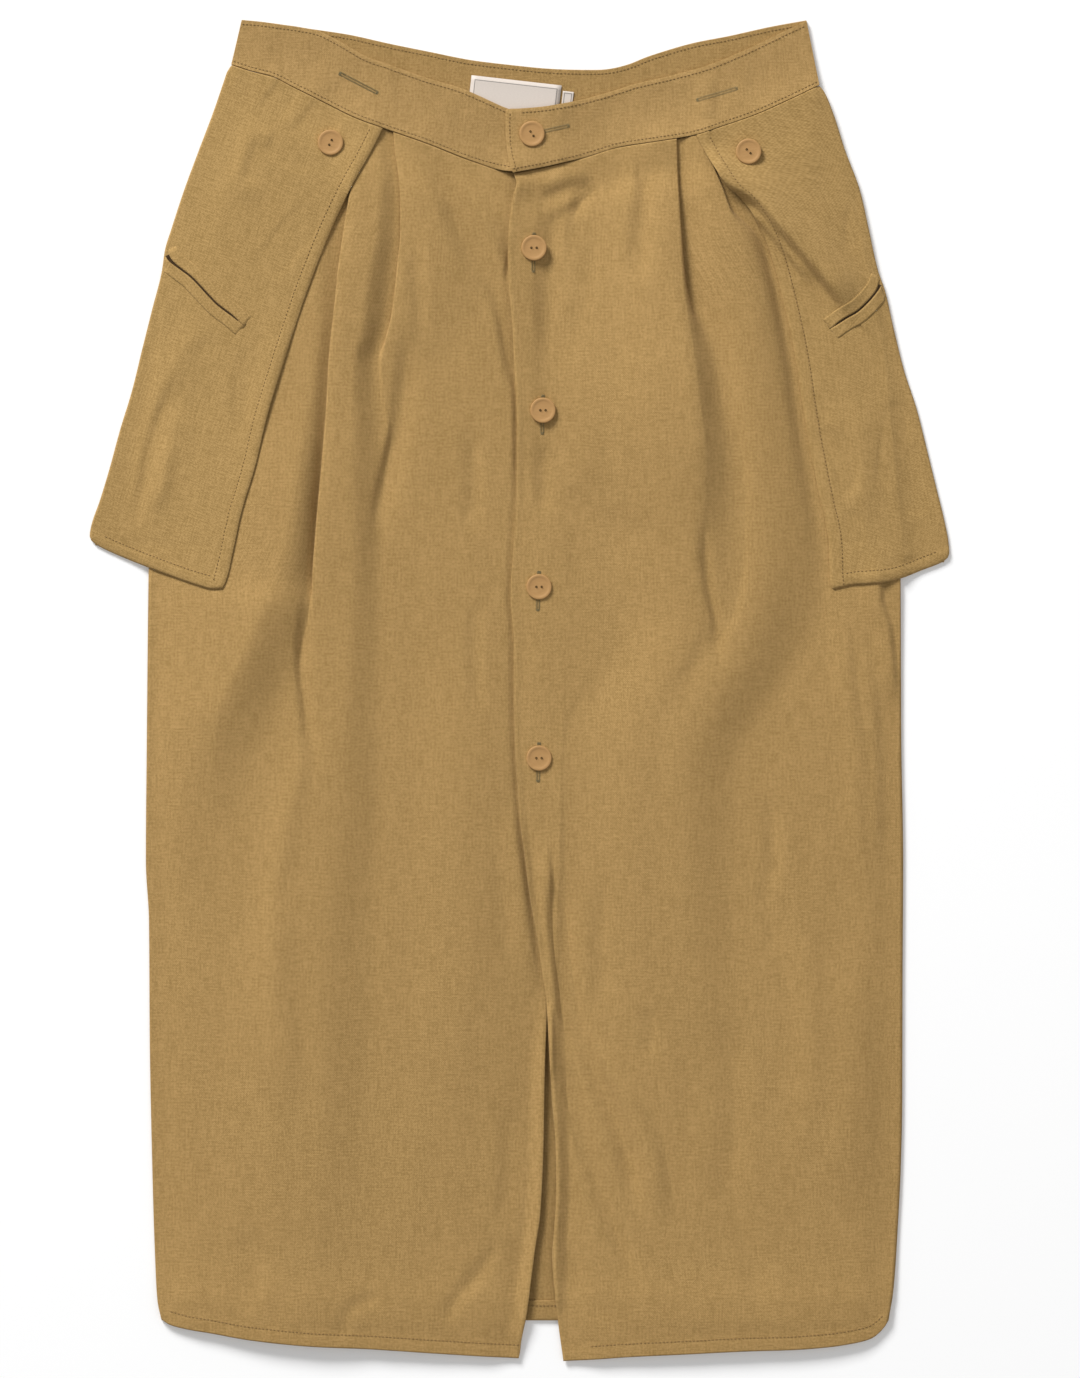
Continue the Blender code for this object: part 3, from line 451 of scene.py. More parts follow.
flapCut = {
    # the outer fold and the free edge as y, out; the hem as out, y
    left: {
        "outer": [
            (400.1, 184.3), (395.8, 187.2), (392, 188.5), (371.5, 195.5), (346, 205.1), (320, 214.7),
            (294.7, 223), (282, 226.9), (269, 228.8), (243.5, 235.2), (218, 241.6), (192, 248),
            (166.7, 255.7), (141, 262.7), (121, 268.8), (108, 273.4), (103.2, 274.6), (99.1, 275.1),
            (96.3, 274.2), (93.8, 271.4)],
        "edge": [
            (359, 87.4), (341.4, 96.3), (321.6, 107.2), (298.6, 118.2), (272.3, 129), (248, 137.9),
            (209.6, 150.4), (173.8, 161.2), (143, 168.4), (113, 177.3), (88, 182.7), (70, 187),
            (65.2, 189.4)],
        "hem": [
            (189.4, 65.2), (196.2, 65.0), (204.3, 67), (220.6, 72.6), (236.9, 78.7), (253.2, 85.2),
            (265.5, 90.6), (271.2, 93.6), (274, 94.6), (276, 95)],
    },
    right: {
        "outer": [
            (386.9, 191.7), (384.3, 194.2), (371.5, 200), (346, 208.3), (320, 217.9), (294.7, 223.7),
            (269, 229.4), (256, 233.9), (230.7, 239.7), (205, 246.1), (179.5, 254.4), (154, 260.8),
            (128, 267.2), (110.5, 271.5), (94.5, 274.6), (88.2, 275.1), (85.4, 274.3), (83.1, 271.8)],
        "edge": [
            (354, 113.2), (335.7, 123.2), (322, 132.2), (316.2, 139.6), (306, 147.8), (291.6, 155.8),
            (271.2, 163.1), (243, 170.2), (214, 176.3), (185.5, 180.5), (161, 184.6), (140.6, 188.5),
            (120.8, 192.6), (107.1, 195.8), (93.4, 197.8), (76.2, 198.2), (67, 199), (64.8, 200.6)],
        "hem": [
            (200.6, 64.8), (206.6, 66.3), (215.2, 67.9), (226.6, 68.6), (235.8, 69.6), (244.9, 72.2),
            (258, 77.4), (266.6, 80.6), (271.8, 82.9), (274.6, 84), (276, 84.5)],
    },
    "foldRoom": 1.1, "seamGap": 0.3, "legColumns": 14,
}


def flapPlan(side, seam, rows, columns):
    cut = flapCut[side]
    part, down = np.meshgrid(columns, rows)
    out = np.full(down.shape, 180.0)
    hem = [(side * o, y) for o, y in cut["hem"]]
    for k in range(25):
        y = readLine(seam, side * out) * (1 - down) + readLine(hem, side * out) * down
        fold = readLine(cut["outer"], y) - clothWall["linen"] / 2 - flapCut["foldRoom"]
        out = 0.5 * out + 0.5 * (readLine(cut["edge"], y) * (1 - part) + fold * part)
    return side * out, y - flapCut["seamGap"] * (1 - down)


# close rows at the ends keep the folded edges crisp
flapRows = np.unique(np.concatenate([np.linspace(0, 1, 150), [0.003, 0.997]]))
flapColumns = np.unique(np.concatenate([np.linspace(0, 1, 66), [0.006, 0.994]]))
flapLegs = {}
for side in (left, right):
    x, y = flapPlan(side, outline["seamBack"], flapRows, np.linspace(0, 1, flapCut["legColumns"]))
    flapLegs[side] = np.stack([x, y, np.full(x.shape, clothWall["linen"] / 2)], axis=-1)
legLayers = {side: layerOf(flapLegs[side], clothWall["linen"]) for side in (left, right)}
print("flap legs laid")


backPiece = {
    "rows": 110, "columns": 90, "reach": 6, "settle": 60, "seamGap": 0.3, "turnRoom": 0.9, "turn": 0.55,
    "hemUp": 12.0,
}
part, down = np.meshgrid(np.linspace(0, 1, backPiece["columns"]), np.linspace(0, 1, backPiece["rows"]))
x = np.zeros(down.shape)
for k in range(12):
    y = (readLine(outline["seamBack"], x) - backPiece["seamGap"]) * (1 - down)
    y = y + (outline["hemBack"] + backPiece["turnRoom"]) * down
    x = -readLine(outline["side"][left], y) * (1 - part) + readLine(outline["side"][right], y) * part
need = restOn(list(legLayers.values()), x, y, clothWall["linen"], backPiece["reach"])
backGrid = np.stack([x, y, settle(need, backPiece["settle"])], axis=-1)
hemRow, turn = backGrid[-1], backPiece["turn"]
turnRows = []
for angle in np.radians([-60, -20, 20, 60]):
    turnRows.append(hemRow + np.array([0, -turn * math.cos(angle), turn + turn * math.sin(angle)]))
for up in (0.0, 1.5, 4.0, 7.0, 9.0, 10.5, 11.4, backPiece["hemUp"]):
    turnRows.append(hemRow + np.array([0, up, 2 * turn + (0.12 if 1 < up < 11 else 0)]))
backGrid = np.concatenate([backGrid, np.array(turnRows)], axis=0)
# the back panel takes the darker painted-shade copy of the linen
backPanel = makeSheet("backPanel", backGrid, clothWall["linen"], linenInsideShade)
backLayer = layerOf(backGrid, clothWall["linen"])
print("back panel laid")


pleats = {
    # y, out, depth of the fold, open (0 pressed, 1 a soft slope), drop, width of the slope,
    # width of the climb, floor beyond the slope
    left: [
        {"near": "fold", "wait": 0, "hang": 1.0, "rows": [
            (362, 80.6, 13, 0, 2.2, 3, 60, 0), (347, 79.6, 13, 0, 2.2, 3, 60, 0),
            (327, 76.8, 12, 0, 2.3, 3, 60, 0), (310, 75.8, 11, 0, 2.4, 3, 60, 0),
            (292, 75.8, 9, 0, 2.6, 3, 60, 0), (274, 77.6, 6, 0, 2.6, 3, 60, 0),
            (254, 79.6, 3.5, 0, 2.6, 3, 56, 0), (238, 82, 2.4, 0.2, 2.4, 3, 50, 0),
            (224, 86, 2.0, 0.5, 2.0, 3, 46, 0), (210, 89, 1.7, 1, 1.4, 3, 40, 0),
            (190, 88, 1.5, 1, 0.7, 3, 40, 0), (170, 85.5, 1.2, 1, 0.3, 3, 40, 0),
            (130, 83, 1.2, 1, 0, 3, 40, 0), (84, 84, 1.2, 1, 0, 3, 40, 0), (40, 83, 1.2, 1, 0, 3, 40, 0),
            (7, 83, 1.2, 1, 0, 3, 40, 0), (-70, 84, 1.2, 1, 0, 3, 40, 0), (-166, 88, 1.2, 1, 0, 3, 40, 0),
            (-280, 88, 1.2, 1, 0, 3, 40, 0), (-400, 90, 1.2, 1, 0, 3, 40, 0)]},
        {"near": "start", "wait": 0.5, "hang": 1.0, "rows": [
            (366, 104, 4, 0, 1.2, 3, 14, 0), (330, 106.4, 4.5, 0, 2.6, 3, 10, 0),
            (310, 109.4, 5, 0, 3.8, 3, 13, 0), (290, 112.6, 6, 0, 5.0, 3, 15, 0),
            (270, 115.4, 7, 0, 6.0, 3, 17, 0), (250, 117.4, 7, 0, 6.4, 3, 18, 0),
            (230, 119.6, 7, 0, 6.2, 3, 16, 0), (210, 121.6, 7, 0, 5.8, 3, 15, 0),
            (190, 122.6, 6.5, 0, 5.6, 3, 17, 0), (170, 124, 6, 0, 5.6, 3, 19, 0),
            (150, 125.6, 5.5, 0, 5.8, 3, 22, 0), (130, 127.4, 5, 0, 6.0, 3, 23, 0),
            (100, 130, 4.2, 0, 5.8, 3, 21, 0), (74, 132, 3.4, 0.3, 5.2, 3, 21, 2.4),
            (50, 133, 2.4, 0.9, 4.8, 4, 23, 4.2), (25, 134.5, 1.7, 1, 4.6, 8, 25, 4.3),
            (-10, 136, 1.7, 1, 4.6, 18, 27, 3.6), (-40, 138, 1.7, 1, 4.6, 32, 28, 2.4),
            (-92, 140, 1.7, 1, 4.8, 46, 33, 1.2), (-156, 144, 1.7, 1, 4.8, 54, 37, 0.4),
            (-230, 148, 1.7, 1, 4.4, 56, 36, 0.2), (-310, 150, 1.7, 1, 3.0, 56, 38, 0),
            (-400, 150, 1.7, 1, 1.4, 56, 38, 0)]},
    ],
    right: [
        {"near": "fold", "wait": 0, "hang": 0.5, "rows": [
            (354, 100.2, 13, 0, 2.4, 3, 24, 0), (329, 101, 13, 0, 3.2, 3, 26, 0),
            (312, 102, 13, 0, 4.2, 3, 46, 0), (296, 103, 12.5, 0.1, 5.4, 8, 56, 0.4),
            (273, 104.4, 11, 0.3, 7.2, 10, 64, 1.0), (251, 106.4, 9, 0.55, 9.0, 13, 74, 1.8),
            (228, 110, 7, 0.8, 11.0, 15, 82, 2.6), (205, 113.6, 5.5, 1, 12.8, 16, 88, 3.2),
            (180, 116.2, 4.2, 1, 13.6, 17.5, 90, 3.8), (160, 118.4, 3, 1, 13.2, 20, 90, 4.2),
            (140, 119.4, 2.2, 1, 12.0, 22, 86, 4.2), (120, 118.4, 1.7, 1, 10.2, 24, 76, 4.2),
            (100, 116.6, 1.7, 1, 8.6, 25, 58, 4.2), (75, 116, 1.7, 1, 7.2, 24, 52, 4.2),
            (50, 117, 1.7, 1, 6.2, 18, 48, 4.4), (20, 108, 1.7, 1, 5.4, 8, 48, 4.8),
            (0, 97, 1.7, 1, 4.8, 4, 50, 4.8), (-20, 88, 1.7, 1, 4.8, 3, 52, 4.8),
            (-40, 84, 1.7, 1, 4.8, 3, 52, 4.8), (-80, 82, 1.7, 1, 4.4, 3, 50, 4.4),
            (-140, 84, 1.7, 1, 3.2, 3, 50, 3.2), (-220, 90, 1.7, 1, 1.6, 3, 50, 1.6),
            (-300, 90, 1.7, 1, 0, 3, 50, 0)]},
        {"near": "start", "wait": 1, "hang": 2.1, "rows": [
            (360, 119, 4, 0, 1.4, 3, 14, 0), (335, 124, 4, 0, 2.6, 3, 14, 0),
            (320, 130, 4.4, 0.2, 3.6, 4, 16, 0), (304, 135, 4.4, 0.6, 4.8, 10, 20, 0),
            (288, 139, 4.0, 1, 5.4, 16, 24, -1.0), (270, 143, 3.4, 1, 5.4, 20, 28, -2.2),
            (250, 147, 2.4, 1, 5.2, 23, 30, -3.0), (230, 149, 1.7, 1, 5.0, 25, 30, -3.4),
            (210, 150, 1.7, 1, 4.8, 29, 28, -3.6), (170, 151, 1.7, 1, 5.0, 33, 22, -3.6),
            (130, 153, 1.7, 1, 5.0, 37, 20, -3.5), (90, 154, 1.7, 1, 5.2, 40, 22, -3.3),
            (60, 151, 1.7, 1, 5.6, 44, 24, -2.8), (40, 146, 1.7, 1, 5.7, 46, 24, -2.0),
            (20, 138, 1.7, 1, 5.7, 46, 24, -1.2), (5, 129, 1.7, 1, 5.7, 46, 24, -0.6),
            (-12, 119, 1.7, 1, 5.6, 43, 24, 0), (-30, 111, 1.7, 1, 5.6, 39, 22, 0),
            (-60, 107, 1.7, 1, 5.4, 34, 20, 0), (-100, 108, 1.7, 1, 4.6, 32, 22, 0),
            (-150, 112, 1.7, 1, 3.2, 28, 24, 0), (-200, 115, 1.7, 1, 1.7, 26, 24, 0),
            (-260, 118, 1.7, 1, 0.3, 24, 24, 0), (-300, 118, 1.7, 1, 0, 24, 24, 0)]},
    ],
}
hump = {
    # beyond the left folds the cloth rises again: y, out of its foot, width of the rise, height,
    # how hollow the rise is
    left: [
        (366, 112, 10, 0.4, 0), (330, 112, 10, 0.8, 0), (290, 117, 10, 1.4, 0), (250, 120, 9, 1.8, 0.5),
        (210, 124, 8, 2.8, 1), (190, 125, 10, 3.6, 1), (170, 126, 13, 5.0, 1), (150, 127.6, 14, 6.8, 1),
        (130, 129.2, 15, 8.2, 1), (110, 130.6, 16, 8.8, 1), (90, 131.4, 19, 9.0, 1),
        (70, 132.6, 24, 8.4, 0.9), (50, 134.6, 30, 7.2, 0.7), (30, 139, 34, 6.6, 0.4),
        (10, 146, 36, 5.6, 0.2), (-10, 154, 38, 4.8, 0), (-30, 161, 41, 4.2, 0), (-50, 168, 44, 3.2, 0),
        (-70, 175, 46, 2.3, 0), (-100, 186, 46, 1.0, 0), (-130, 192, 40, 0, 0), (-400, 192, 40, 0, 0)],
}
frontPiece = {
    "rows": 250, "centre": 46, "rise": 13, "flat": 8, "turn": 6, "between": 4, "side": 44,  # points
    "lip": 1.6, "stand": 3.8, "edgeFall": 24, "sideFall": 24, "reach": 4, "settle": 40,
    "ripple": (0.16, 38, 210),  # height, across, along
    "hemDeep": 8.6, "hemStep": 0.35, "hemGroove": 0.28, "hemHold": -398, "hemSlope": 0.03,
    "seamGap": 0.3, "seamLift": {left: 0.8, right: 2.0}, "edgeRoll": 0.2, "edgeDown": 0.25,
}


def humpAt(side, out, sideOut, y):
    if side not in hump:
        return 0.0
    foot, width, height, hollow = (readLine(hump[side], y, k) for k in (1, 2, 3, 4))
    t = np.clip((out - foot) / width, 0, 1)
    rise = (1 - hollow) * smooth(t) + hollow * (1 - (1 - t) ** 2.2)
    return height * rise * sideFade(side, out, sideOut, y)


def sideFade(side, out, sideOut, y):
    # lifted cloth comes down to the side seam
    rows = hump.get(side)
    reach = np.maximum(sideOut - readLine(rows, y) - readLine(rows, y, 2), 45) if rows else 50
    return np.clip((sideOut - out) / reach, 0, 1) ** 1.2


def frontSection(side, y):
    # one section across a front, from its free edge to its side, as lists of out and lift
    sideOut = readLine(outline["side"][side], y)
    outs, lifts = [], []

    def add(out, lift):
        outs.append(out)
        lifts.append(lift)

    start, level = side * readLine(outline["edge"][side], y), np.zeros_like(y)
    for number, pleat in enumerate(pleats[side]):
        fold, depth, opened, drop, slope, climb, low = (readLine(pleat["rows"], y, k) for k in range(1, 8))
        opened = smooth(opened)
        radius = drop / 4
        under = fold - np.maximum(depth, 2 * radius)
        plateau = under - frontPiece["lip"]
        room = plateau - start
        wait = np.minimum(pleat["wait"], 0.3 * room)
        wide = np.minimum(climb, 0.88 * (room - wait))
        foot = start + wait if pleat["near"] == "start" else plateau - wide
        count = frontPiece["centre"] if number == 0 else frontPiece["between"]
        for k in range(count):
            t = k / count
            if number == 0:
                t = (0, 0.006, 0.02)[k] if k < 3 else 0.02 + 0.98 * (k - 2) / (count - 2)
            add(start + (foot - start) * t, level)
        for t in np.linspace(0, 1, frontPiece["rise"]):
            add(foot + wide * t, level + (drop - level) * smooth(t))
        if pleat["near"] == "start":
            for k in range(1, frontPiece["flat"] + 1):
                add(foot + wide + (plateau - foot - wide) * k / (frontPiece["flat"] + 1), drop)
        turn = [(math.cos(a), math.sin(a)) for a in np.radians(np.linspace(90, -90, frontPiece["turn"]))]
        shut = [(fold - radius + radius * c, drop - radius + radius * s) for c, s in turn]
        shut += [(under + radius - radius * c, radius + radius * s) for c, s in turn]
        for k, (out, up) in enumerate(shut):
            t = k / (len(shut) - 1)
            shape = smooth(t) * np.ones_like(y)
            if pleat["hang"] > 1:
                shape = shape + (t ** pleat["hang"] - shape) * smooth((y - 30) / 90)
            elif pleat["hang"] < 1:
                shape = (shape + 1 - (1 - t) ** 2.2) / 2
            slopeOut, slopeUp = fold - frontPiece["lip"] + slope * t, drop + (low - drop) * shape
            if number == 1:
                slopeUp = slopeUp + humpAt(side, slopeOut, sideOut, y)
            add(out + (slopeOut - out) * opened, up + (slopeUp - up) * opened)
        start = np.maximum(fold + 1.6, outs[-1] + 1.4)
        level = low * opened
    for t in np.arange(frontPiece["side"] + 1) / frontPiece["side"]:
        out = start + (sideOut - start) * t
        add(out, level * sideFade(side, out, sideOut, y) + humpAt(side, out, sideOut, y))
    return outs, lifts


def frontPlan(side):
    seam, hem = outline["seam"][side], outline["hem"][side]
    rows = np.linspace(0, 1, frontPiece["rows"])
    rows = np.unique(np.concatenate([rows, [0.0012, 0.0026, 0.9974, 0.9988]]))
    wide = len(frontSection(side, np.array([0.0]))[0])
    down = rows[:, None] * np.ones((1, wide))
    out = np.full(down.shape, 100.0)
    for k in range(10):
        y = readLine(seam, side * out) * (1 - down) + readLine(hem, side * out) * down
        outs, lifts = frontSection(side, y)
        out = np.stack([outs[c][:, c] for c in range(wide)], axis=1)
        lift = np.stack([lifts[c][:, c] for c in range(wide)], axis=1)
    return side * out, y - frontPiece["seamGap"] * (1 - down), lift, down, y - readLine(hem, side * out)


def layFront(side, folds, layers):
    spec = frontPiece
    x, y, lift, down, aboveHem = frontPlan(side)
    edge = readLine(outline["edge"][side], y)
    sideX = side * readLine(outline["side"][side], y)
    fromEdge, fromSide = side * (x - edge), side * (sideX - x)
    need = restOn(layers, x, y, clothWall["linen"], spec["reach"])
    rest = settle(need, spec["settle"])
    # below the back panel's hem the front keeps the height it had there
    last = np.argmax(y < spec["hemHold"], axis=0)
    held = rest[last, np.arange(rest.shape[1])][None, :] - spec["hemSlope"] * (spec["hemHold"] - y)
    rest = np.where(y < spec["hemHold"], np.maximum(rest, held), rest)
    body = smooth(fromEdge / spec["edgeFall"]) * smooth(fromSide / spec["sideFall"]) * smooth(down / 0.05)
    body = body * (0.88 + 0.12 * smooth(aboveHem / 24))
    across = np.clip((x - edge) / (sideX - edge), 0, 1)
    soft = spec["stand"] * np.sin(math.pi * across) ** 0.5 * body
    soft = soft + foldsAt(folds, x, y) * smooth(down / 0.02 + 0.35)
    soft = soft + rippleAt(x, y, 11 + side, *spec["ripple"]) * body
    seamLift = spec["seamLift"][side] * smooth(1 - down / 0.03) * smooth(1.6 - across)
    hemStep = spec["hemStep"] * smooth((spec["hemDeep"] + 0.8 - aboveHem) / 1.2)
    hemStep = hemStep - spec["hemGroove"] * bell(aboveHem - spec["hemDeep"], 0.9)
    edgeRoll = spec["edgeRoll"] * bell(fromEdge - 1.6, 1.6) - spec["edgeDown"] * bell(fromEdge, 0.5)
    z = rest + np.maximum(soft, 0.0) + lift * smooth(fromSide / 12) + seamLift
    z = z + np.maximum(hemStep, -0.2) + edgeRoll
    return np.stack([x, y, np.maximum(z, need - 0.1)], axis=-1)


frontFolds = {
    left: [
        (1.2, 10, -0.4, 0, 0, 0, [(-129, 0), (-135, -35), (-143, -70), (-149, -102), (-155, -134),
            (-157, -198), (-162, -236)]),
        (-2.6, 8, 0.4, 0.2, 0, 0, [(-137, 66), (-138, 45), (-140, 16), (-137, -12), (-132, -57)]),
        (-5.6, 9, 0.35, 0.3, 0.4, 0, [(-59, 343), (-49, 322), (-38, 306), (-28, 289), (-19, 267),
            (-12, 244), (-7, 216), (-5, 186)]),
        (-1.6, 17, 0, 0, 0, 0, [(-50, 336), (-36, 300), (-22, 270), (-13, 230)]),
        (-2.6, 6, 0, 0.3, 0, 0, [(-49, 316), (-39, 292), (-29, 274), (-21, 260)]),
        (1.5, 10, 0, 0, 0.3, 0, [(-36, 328), (-22, 296), (-10, 262)]),
        (-2.0, 6, 0, 0.4, 0, 0, [(-70, 340), (-68, 301), (-65, 262), (-62, 214)]),
        (-2.2, 3.4, 0, 0.6, 1, 0, [(-3.6, 330), (-5.8, 307), (-7.6, 290), (-7.2, 263), (-5.4, 239),
            (-3.9, 210), (-2, 173), (-2.6, 122), (-5, 89)]),
        (-1.3, 3.4, 0, 0.6, 0, 1, [(-2.6, 150), (-5, 89), (-6.2, 59), (-4.2, 32), (-4.2, -4), (-3.2, -40),
            (-0.4, -83), (2.8, -106), (6.8, -136), (10, -155), (14, -181), (16.6, -198)]),
        (-2.8, 11, 0.6, 0, 0, 0, [(-76, 238), (-75, 208), (-79, 173), (-85, 145), (-91, 118), (-93, 92)]),
        (-1.2, 10, 0, 0, 0, 0, [(-32, 173), (-29, 135), (-32, 96)]),
        (-1.0, 9, 0, 0, 0, 0, [(-27, 64), (-29, 20), (-25, -19)]),
        (-1.0, 7, -0.3, 0.3, 0, 0, [(-146, -380), (-155, -398), (-160, -412)]),
        (-1.1, 7, 0, 0.3, 0, 0, [(-83, -386), (-107, -394), (-116, -419)]),
        (-1.2, 9, 0, 0.3, 0, 0, [(-12, -348), (-25, -371), (-41, -390), (-51, -412)]),
        (1.6, 10, -0.4, 0, 0, 0, [(-6, -64), (-2, -108), (6, -166), (12, -198)]),
        (3.0, 13, 0.2, 0, 0, 0.5, [(17, -190), (17, -213), (16, -244), (15, -291), (13, -337), (8, -375),
            (1.4, -414)]),
        (-1.2, 11, 0, 0, 0, 0, [(-8, -256), (-6, -300), (-11, -352)]),
        (2.6, 38, 0, 0, 0, 0, [(-34, 60), (-34, -60), (-38, -180), (-36, -300)]),
        (1.4, 20, -0.3, 0, 0, 0, [(-152, -120), (-154, -190), (-146, -270)]),
        (-1.2, 16, 0, 0, 0, 0, [(-178, -340), (-170, -372), (-176, -404)]),
    ],
    right: [
        (1.8, 10, 0.3, 0, 0, 0, [(8, 318), (20, 324), (34, 328), (46, 330)]),
        (1.3, 8, 0.3, 0, 0, 0, [(14, 303), (26, 309), (38, 318)]),
        (-1.6, 6, 0, 0.4, 0, 0, [(45, 330), (41, 314), (32, 300)]),
        (-1.3, 7, 0, 0.3, 0, 0, [(50, 304), (47, 282), (44, 256), (38, 236), (31, 217), (21, 197)]),
        (-3.0, 10, 0.4, 0, 0.4, 0, [(77, 347), (79, 322), (76, 290), (74, 256)]),
        (1.1, 12, -0.3, 0, 0, 0, [(32, 208), (38, 180), (41, 154), (41, 118)]),
        (3.0, 13, 0.75, 0, 1, 0, [(-3, 331), (-5.4, 307), (-7, 285), (-6, 255), (-4, 225), (-2, 190),
            (-1.4, 160), (-2, 125)]),
        (-2.0, 12, 0, 0, 0, 0, [(22, 326), (20, 296), (18, 262), (19, 226), (20, 196)]),
        (-1.2, 9, 0, 0, 0, 0, [(14, 160), (16, 135), (16, 109)]),
        (-0.9, 6, 0, 0.4, 0, 0, [(58, 240), (60, 180), (57, 120)]),
        (-1.0, 7, 0, 0.3, 0, 0, [(89, 300), (92, 250), (96, 200), (100, 150)]),
        (-2.4, 6, 0.4, 0.5, 0, 0, [(118, 116), (117.4, 90), (119.4, 68), (123.6, 50), (127, 30), (130, 8)]),
        (-3.8, 12, 0.15, 0.5, 0.2, 0.2, [(147, 305), (154.5, 291), (162, 271), (169, 243), (175, 214),
            (179, 185), (187, 141), (194, 112), (197, 90)]),
        (1.2, 11, -0.4, 0, 0, 0, [(206, 64), (208, 26), (212, -6), (217, -44), (217, -89), (222, -134)]),
        (1.0, 9, -0.3, 0, 0, 0, [(222, 32), (226, -19), (228, -70), (227, -121)]),
        (2.2, 9, -0.5, 0, 1, 0, [(229, 72), (230, 55), (234.6, 42), (236.5, 26), (238.4, 8), (240, -12)]),
        (2.6, 8, -0.5, 0, 0, 0.2, [(16, -88), (18, -115), (20, -153), (23, -185), (30, -218)]),
        (3.0, 6, 0.4, 0, 0.5, 0.5, [(20, -205), (22, -240), (24, -291), (24.5, -322), (23, -350),
            (23.5, -390)]),
        (-4.4, 9, 0.3, 0.3, 0, 0, [(29, -200), (42, -231), (55, -262), (65, -288), (70, -308), (77, -340)]),
        (2.4, 13, -0.2, 0, 0, 0, [(44, -208), (58, -240), (74, -268), (86, -304), (92, -344)]),
        (-3.0, 8, 0.3, 0.3, 0, 0, [(27, -236), (36, -272), (45, -305), (56, -334), (67, -362), (82, -396)]),
        (-1.3, 7, 0, 0, 0, 0, [(33, -224), (37, -262), (42, -288), (49, -316), (55, -352)]),
        (-1.4, 9, 0, 0, 0, 0, [(31, -352), (42, -384), (61, -412)]),
        (-1.6, 8, 0, 0, 0, 0, [(53, -115), (52, -160), (53, -211)]),
        (-1.3, 7, 0, 0, 0, 0, [(82, -201), (85, -236)]),
        (-1.4, 14, 0, 0, 0, 0, [(116, -294), (138, -332), (151, -371), (155, -406)]),
        (-1.3, 9, 0, 0, 0, 0, [(159, -64), (162, -96), (160, -134)]),
        (-1.0, 8, 0, 0, 0, 0, [(151, -121), (160, -147), (164, -172)]),
        (1.3, 16, 0, 0, 0, 0, [(176, -120), (186, -220), (180, -320)]),
        (-3.2, 12, 0.5, 0, 0, 0, [(20, -112), (23, -160), (29, -205), (37, -236)]),
        (2.0, 30, -0.3, 0, 0, 0, [(206, -160), (212, -250), (208, -340)]),
        (-1.4, 16, 0, 0, 0, 0, [(132, -200), (138, -260), (134, -330)]),
    ],
}
frontPanels, frontLayers = {}, {}
below = [backLayer]
for side in (left, right):
    grid = layFront(side, frontFolds[side], below)
    frontPanels[side] = makeSheet("front" + sideWord[side], grid, clothWall["linen"], linenFront)
    frontLayers[side] = layerOf(grid, clothWall["linen"])
    below = below + [frontLayers[side]]
print("fronts laid")


flapPiece = {
    "hemDeep": 8.2, "edgeDeep": 7.6, "turnUp": 0.35, "foldUp": 0.25, "groove": 0.2,
    "rimUp": 0.3, "rimDown": 0.7, "reach": 1.6, "settle": 70, "foldFall": 14,
    "ripple": (0.15, 34, 130), "slant": 0.93,  # share of the way to the slanted edge that runs across
    left: {"turn": 17, "folds": [
        (-3.6, 13, 0.45, 0, 0.8, 0, [(-122, 378), (-131, 367), (-141, 354), (-154, 336)]),
        (-2.6, 11, 0.4, 0, 0.6, 0, [(-150, 388), (-158, 376), (-169, 362)]),
        (1.3, 18, 0, 0, 0, 0, [(-156, 368), (-168, 340), (-180, 308)]),
        (-4.4, 12, 0.5, 0.2, 0, 0, [(-132, 309), (-145, 298), (-157, 283), (-167, 268)]),
        (-1.2, 20, 0.3, 0, 0, 0, [(-186, 224), (-203, 214), (-212, 196), (-214, 165)]),
        (-2.6, 14, -0.4, 0, 0.3, 0, [(-158, 358), (-140, 350), (-114, 349)]),
        (1.0, 9, 0, 0, 0, 0, [(-222, 165), (-227, 138), (-234, 112)]),
        (-0.7, 8, 0, 0, 0, 0, [(-176, 221), (-177, 192), (-179, 160)]),
        (-1.4, 13, 0.4, 0, 0, 0, [(-163, 356), (-171, 336), (-175, 318)]),
        (2.2, 22, 0.1, 0, 0, 0, [(-206, 240), (-218, 206), (-227, 168), (-233, 130), (-237, 92)]),
        (-2.0, 10, 0.3, 0.2, 0, 0, [(-214, 206), (-225, 186), (-234, 160), (-240, 130), (-245, 102)]),
        (0.9, 14, 0, 0, 0, 0, [(-150, 240), (-158, 200), (-166, 150)]),
    ]},
    right: {"turn": -15, "folds": [
        (6.8, 16, 0.6, 0, 1, 0.25, [(128, 325), (138, 321), (153, 313), (168, 296), (185, 277), (201, 257),
            (214, 240)]),
        (2.6, 8, 0.5, 0, 0.6, 0, [(146, 306), (153, 301), (161, 293), (175, 276), (190, 257)]),
        (-1.2, 8, 0, 0, 0, 0, [(222, 330), (214, 300), (212, 278)]),
        (-1.0, 7, 0, 0, 0, 0, [(176, 262), (184, 246), (192, 226)]),
        (-2.0, 10, 0.4, 0.2, 0, 0, [(191, 167), (203, 149), (210, 122)]),
        (-1.9, 12, 0.4, 0, 0, 0, [(241, 189), (236, 160), (231, 128)]),
        (-1.3, 8, 0, 0, 0, 0, [(212, 116), (215, 90)]),
        (-1.6, 13, 0, 0, 0, 0, [(247, 160), (249, 135), (253, 109)]),
        (0.9, 14, 0, 0, 0, 0, [(214, 190), (220, 150), (222, 105)]),
        (0.7, 9, 0, 0, 0, 0, [(196, 184), (204, 160), (206, 130)]),
    ]},
}
flapPanels, flapLayers = {}, {}
